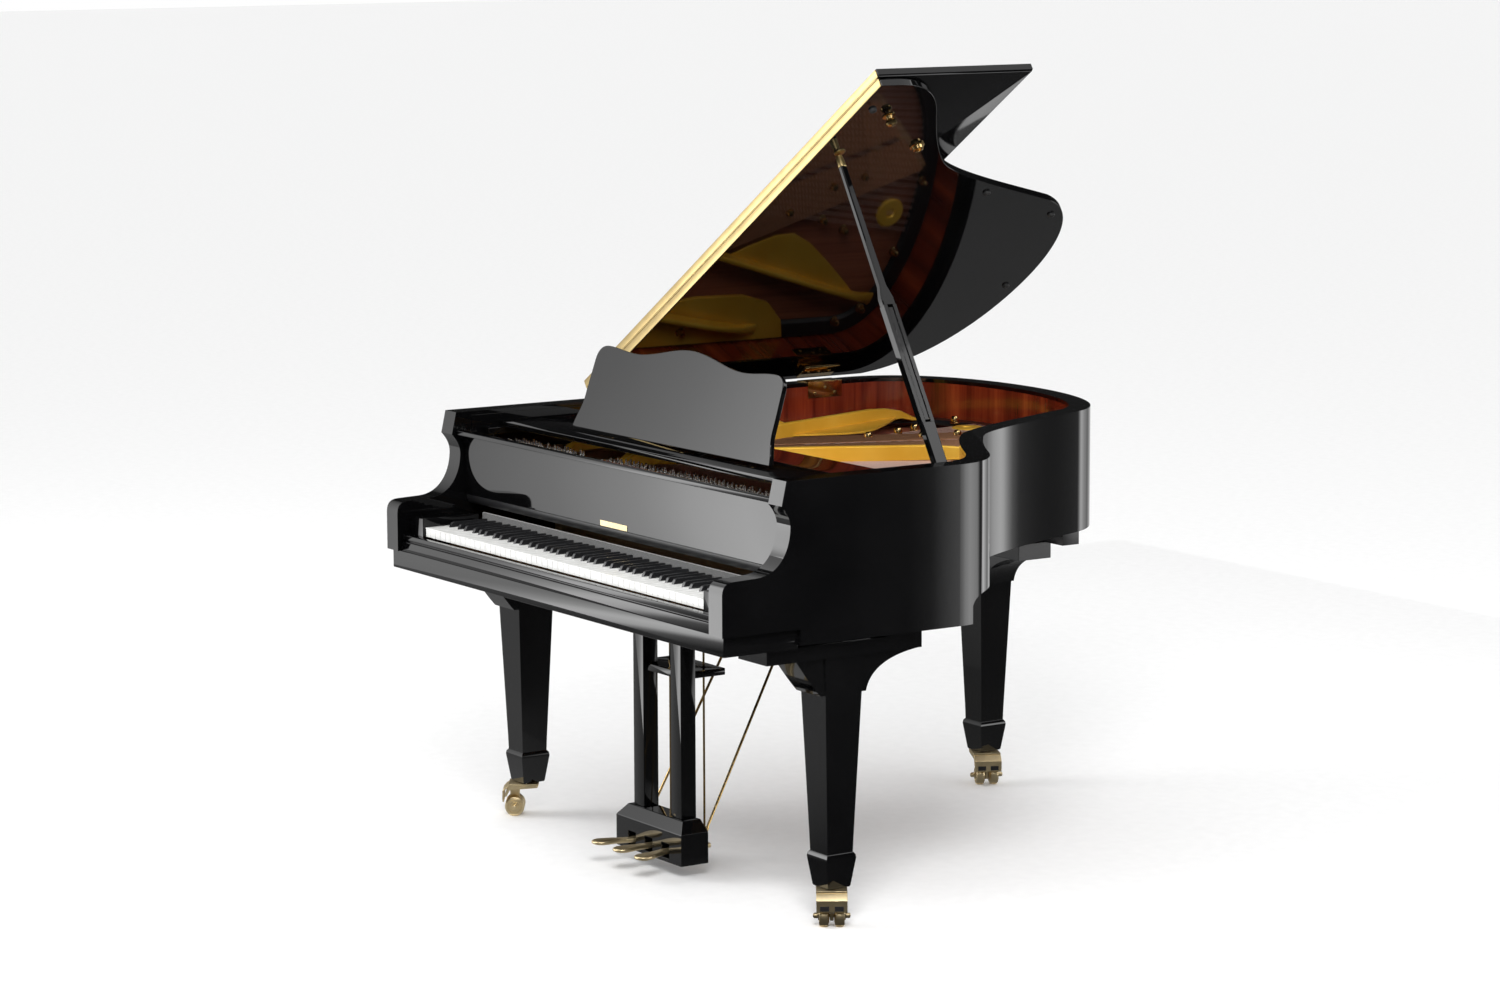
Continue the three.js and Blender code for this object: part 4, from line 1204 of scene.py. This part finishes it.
def prop():
    pivot = joint_at("prop_fold")
    short_pivot = joint_at("short_prop_fold")

    def on_prop(u, v, w):
        """u out to the treble side, v to the tail, w up the stick."""
        return at(
            pivot.x + u * math.cos(PROP_LEAN) - w * math.sin(PROP_LEAN), pivot.y + v,
            pivot.z + u * math.sin(PROP_LEAN) + w * math.cos(PROP_LEAN),
        )

    def ring(half_u, half_v, w):
        """The stick's section at w, with its corners cut off."""
        u, v, cut = half_u, half_v, 2.5
        corners = [(-u, cut - v), (cut - u, -v), (u - cut, -v), (u, cut - v)]
        return [(x, y, w) for x, y in corners + [(-x, -y) for x, y in corners]]

    slot_start, slot_end = 116.0, 404.0
    parts = [
        loft([ring(8, 15, -9), ring(9, 17, 2), ring(9, 17, slot_start)]),
        loft([ring(*section) for section in (
            (9, 17, slot_end), (9, 17, 422), (8, 9.5, 452), (7.5, 8.5, 600), (7, 8, PROP_LENGTH - 30)
        )]),
    ]
    for u1, v0, v1 in ((9, -17, -7.2), (9, 7.2, 17), (-6, -7.5, 7.5)):
        parts.append(block(-9, u1, v0, v1, slot_start - 0.5, slot_end + 0.5))
    build(
        "long_prop_stick", merge(*parts), "long_prop", BLACK, place=on_prop, replaces=["lid_prop"],
        bevel=0.7,
    )
    ferrule = [(0, 8.6), (1, 9.4), (20, 9.0), (24, 7.6), (28, 7.4), (29.5, 6)]
    tip = turned((0, 0, PROP_LENGTH - 31), (0, 0, 1), ferrule, 28)
    build("prop_ferrule", tip, "long_prop", PALE_BRASS, place=on_prop)
    short = block(-3, 7.6, -6, 6, 121, 398)
    build("short_prop_stick", short, "short_prop", BLACK, place=on_prop, replaces=["short_prop"], bevel=1.5)
    catch = turned(
        (short_pivot.x, short_pivot.y - 16.9, short_pivot.z), (0, 1, 0), [(0, 2.2), (33.8, 2.2)], 14,
    )
    build("short_prop_pin", catch, "long_prop", BRASS)
    keep_node("prop_bracket", BRASS, 1.5)
    lugs = [
        (-25, 2.5), (-24.2, 4), (-23, 4), (-23, 10), (-18.6, 10), (-18.6, 4),
        (18.6, 4), (18.6, 10), (23, 10), (23, 4), (24.2, 4), (25, 2.5),
    ]
    ears = turned(pivot, Vector(JOINTS["prop_fold"]["axis"]), lugs, 24)
    build("prop_bracket_ears", ears, "case", BRASS, bevel=0.8)


# ---- stage ----
CAMERA_SPOT = (8029.15, -4743.47, 2268.31)
CAMERA_YAW = math.radians(56.57)
CAMERA_PITCH = math.radians(-8.46)
CAMERA_ROLL = math.radians(-0.21)
CAMERA_LENS = 100.64


def camera():
    data = bpy.data.cameras.new("camera")
    data.lens = CAMERA_LENS
    data.sensor_width = 36.0
    data.clip_end = 200.0
    made = add_object("camera", data)
    turn = Matrix.Rotation(CAMERA_YAW, 4, "Z") @ Matrix.Rotation(math.pi / 2 + CAMERA_PITCH, 4, "X")
    turn = turn @ Matrix.Rotation(CAMERA_ROLL, 4, "Z")
    made.matrix_world = Matrix.Translation(at(*CAMERA_SPOT)) @ turn
    bpy.context.scene.camera = made


def emission(name, strength):
    """A new material that only glows, and its shader."""
    material = bpy.data.materials.new(name)
    material.use_nodes = True
    material.node_tree.nodes.clear()
    shader = node(material, "ShaderNodeEmission", Strength=strength)
    output = node(material, "ShaderNodeOutputMaterial")
    link(material, shader.outputs["Emission"], output.inputs["Surface"])
    return material, shader


DRUM_CENTRE = (300.0, 700.0)
DRUM_RADIUS = 3500.0
# Brightness round the drum, by compass angle from +X towards +Y, in degrees.
FRONT_LEFT = [
    (-180, 0.1), (-165, 0.6), (-151, 1.15), (-148, 1.5), (-146, 1.8), (-143.8, 2.3), (-141.5, 2.8),
    (-139, 4.0), (-136.5, 4.7), (-131, 4.5), (-126, 1.0), (-115, 0.1), (-100, 0.03),
]
RIGHT_AND_BACK = [
    (-100, 0.03), (20, 0.01), (30, 0.06), (31.5, 0.25), (33, 1.6), (42, 3.4), (52, 4.0), (72, 2.0),
    (79, 0.3), (84, 0.05), (88, 0.3), (92, 3.0), (96, 2.2), (102, 1.2), (112, 0.4), (125, 0.8),
    (137, 0.4), (150, 0.1), (180, 0.1),
]
FLOOR_SHINE = [(-180, 0.25), (-150, 0.45), (-120, 0.3), (-90, 0.06), (30, 0.05), (90, 0.12), (180, 0.2)]


def plain_glow(name, strength):
    material, shader = emission(name, strength)
    shader.inputs["Color"].default_value = (1.0, 1.0, 1.0, 1.0)
    return material


def by_compass(name, stops):
    """An emission whose brightness depends only on the compass angle about the drum's centre."""
    full = 5.0
    material, shader = emission(name, full)
    coords = node(material, "ShaderNodeTexCoord")
    split = node(material, "ShaderNodeSeparateXYZ")
    angle = node(material, "ShaderNodeMath", operation="ARCTAN2")
    share = node(material, "ShaderNodeMapRange")
    share.inputs["From Min"].default_value = -math.pi
    share.inputs["From Max"].default_value = math.pi
    link(material, coords.outputs["Object"], split.inputs["Vector"])
    link(material, split.outputs["Y"], angle.inputs[0])
    link(material, split.outputs["X"], angle.inputs[1])
    link(material, angle.outputs["Value"], share.inputs["Value"])
    levels = [((degrees + 180) / 360, (level / full,) * 3) for degrees, level in stops]
    link(material, ramp(material, share.outputs["Result"], levels), shader.inputs["Color"])
    return material


def reflected_only(name, points, faces, material):
    """A studio card that shows only in reflections."""
    mesh = bpy.data.meshes.new(name)
    mesh.from_pydata([Vector(p) * MM for p in points], [], faces)
    mesh.materials.append(material)
    made = add_object(name, mesh)
    made.location = at(*DRUM_CENTRE, 0)
    made.visible_camera = False
    made.visible_diffuse = False
    made.visible_shadow = False
    made.visible_transmission = False


def drum_wall(name, start, end, bottom, top, material):
    """Part of an upright drum round the piano, between two compass angles."""
    count = 72
    turns = [math.radians(start + (end - start) * k / count) for k in range(count + 1)]
    points = [
        (DRUM_RADIUS * math.cos(a), DRUM_RADIUS * math.sin(a), z) for a in turns for z in (bottom, top)
    ]
    faces = [(2 * k, 2 * k + 2, 2 * k + 3, 2 * k + 1) for k in range(count)]
    reflected_only(name, points, faces, material)


def studio_cards():
    dark = plain_glow("dark_card", 0.02)
    drum_wall("front_softbox", -180, -100, 6, 2600, by_compass("front_left_glow", FRONT_LEFT))
    drum_wall("side_cards", -100, 180, 6, 1050, by_compass("right_and_back_glow", RIGHT_AND_BACK))
    drum_wall("upper_flags", -100, 180, 1050, 2900, dark)
    drum_wall("high_right_card", 20, 80, 2900, 4200, plain_glow("high_card", 2.2))
    drum_wall("high_front_flags", -100, 20, 2900, 4200, dark)
    drum_wall("high_back_flags", 80, 180, 2900, 4200, dark)
    size = DRUM_RADIUS
    sheet = [(-size, -size, 5), (size, -size, 5), (size, size, 5), (-size, size, 5)]
    reflected_only("floor_sheen", sheet, [(0, 1, 2, 3)], by_compass("floor_glow", FLOOR_SHINE))


def floor():
    mesh = bpy.data.meshes.new("floor")
    size = 60.0
    mesh.from_pydata(
        [(-size, -size, 0), (size, -size, 0), (size, size, 0), (-size, size, 0)], [], [(0, 1, 2, 3)],
    )
    material, shader = new_material("pale_floor", (0.90, 0.90, 0.90), 0.7)
    speckle = noise(material, object_coords(material), 30.0, 3.0)
    tint(material, shader, speckle, [(0.3, (0.885, 0.885, 0.885)), (0.7, (0.915, 0.915, 0.915))])
    mesh.materials.append(material)
    add_object("floor", mesh)


def area_light(name, spot, target, size, power):
    data = bpy.data.lights.new(name, "AREA")
    data.shape = "SQUARE"
    data.size = size
    data.energy = power
    made = add_object(name, data)
    where = Vector(spot)
    made.location = where
    made.rotation_euler = (Vector(target) - where).to_track_quat("-Z", "Y").to_euler()


def lighting():
    world = bpy.data.worlds.new("studio")
    bpy.context.scene.world = world
    world.use_nodes = True
    world.node_tree.nodes["Background"].inputs["Color"].default_value = (1.0, 1.0, 1.0, 1.0)
    world.node_tree.nodes["Background"].inputs["Strength"].default_value = 1.0
    area_light("key", (3.4, -2.4, 3.6), (0.0, 0.0, 0.9), 1.6, 170)
    area_light("fill", (-3.0, -3.5, 3.2), (0.0, -0.2, 0.6), 2.4, 90)
    studio_cards()
    bpy.context.scene.view_settings.view_transform = "Standard"


case_shell()
inner_walls()
front_parts()
fallboard()
keyboard()
leg("leg_front_left", True)
leg("leg_front_right", True)
leg("leg_rear", False)
for corner in ("front_left", "front_right", "rear"):
    caster(corner)
for pedal_side in ("left", "middle", "right"):
    pedal(pedal_side)
lyre_metal()
music_desk()
plate()
strings()
soundboard()
bridges()
dampers()
back_rail()
main_lid()
lid_flap()
long_hinge()
butt_hinges()
lid_fittings()
prop()
camera()
floor()
lighting()
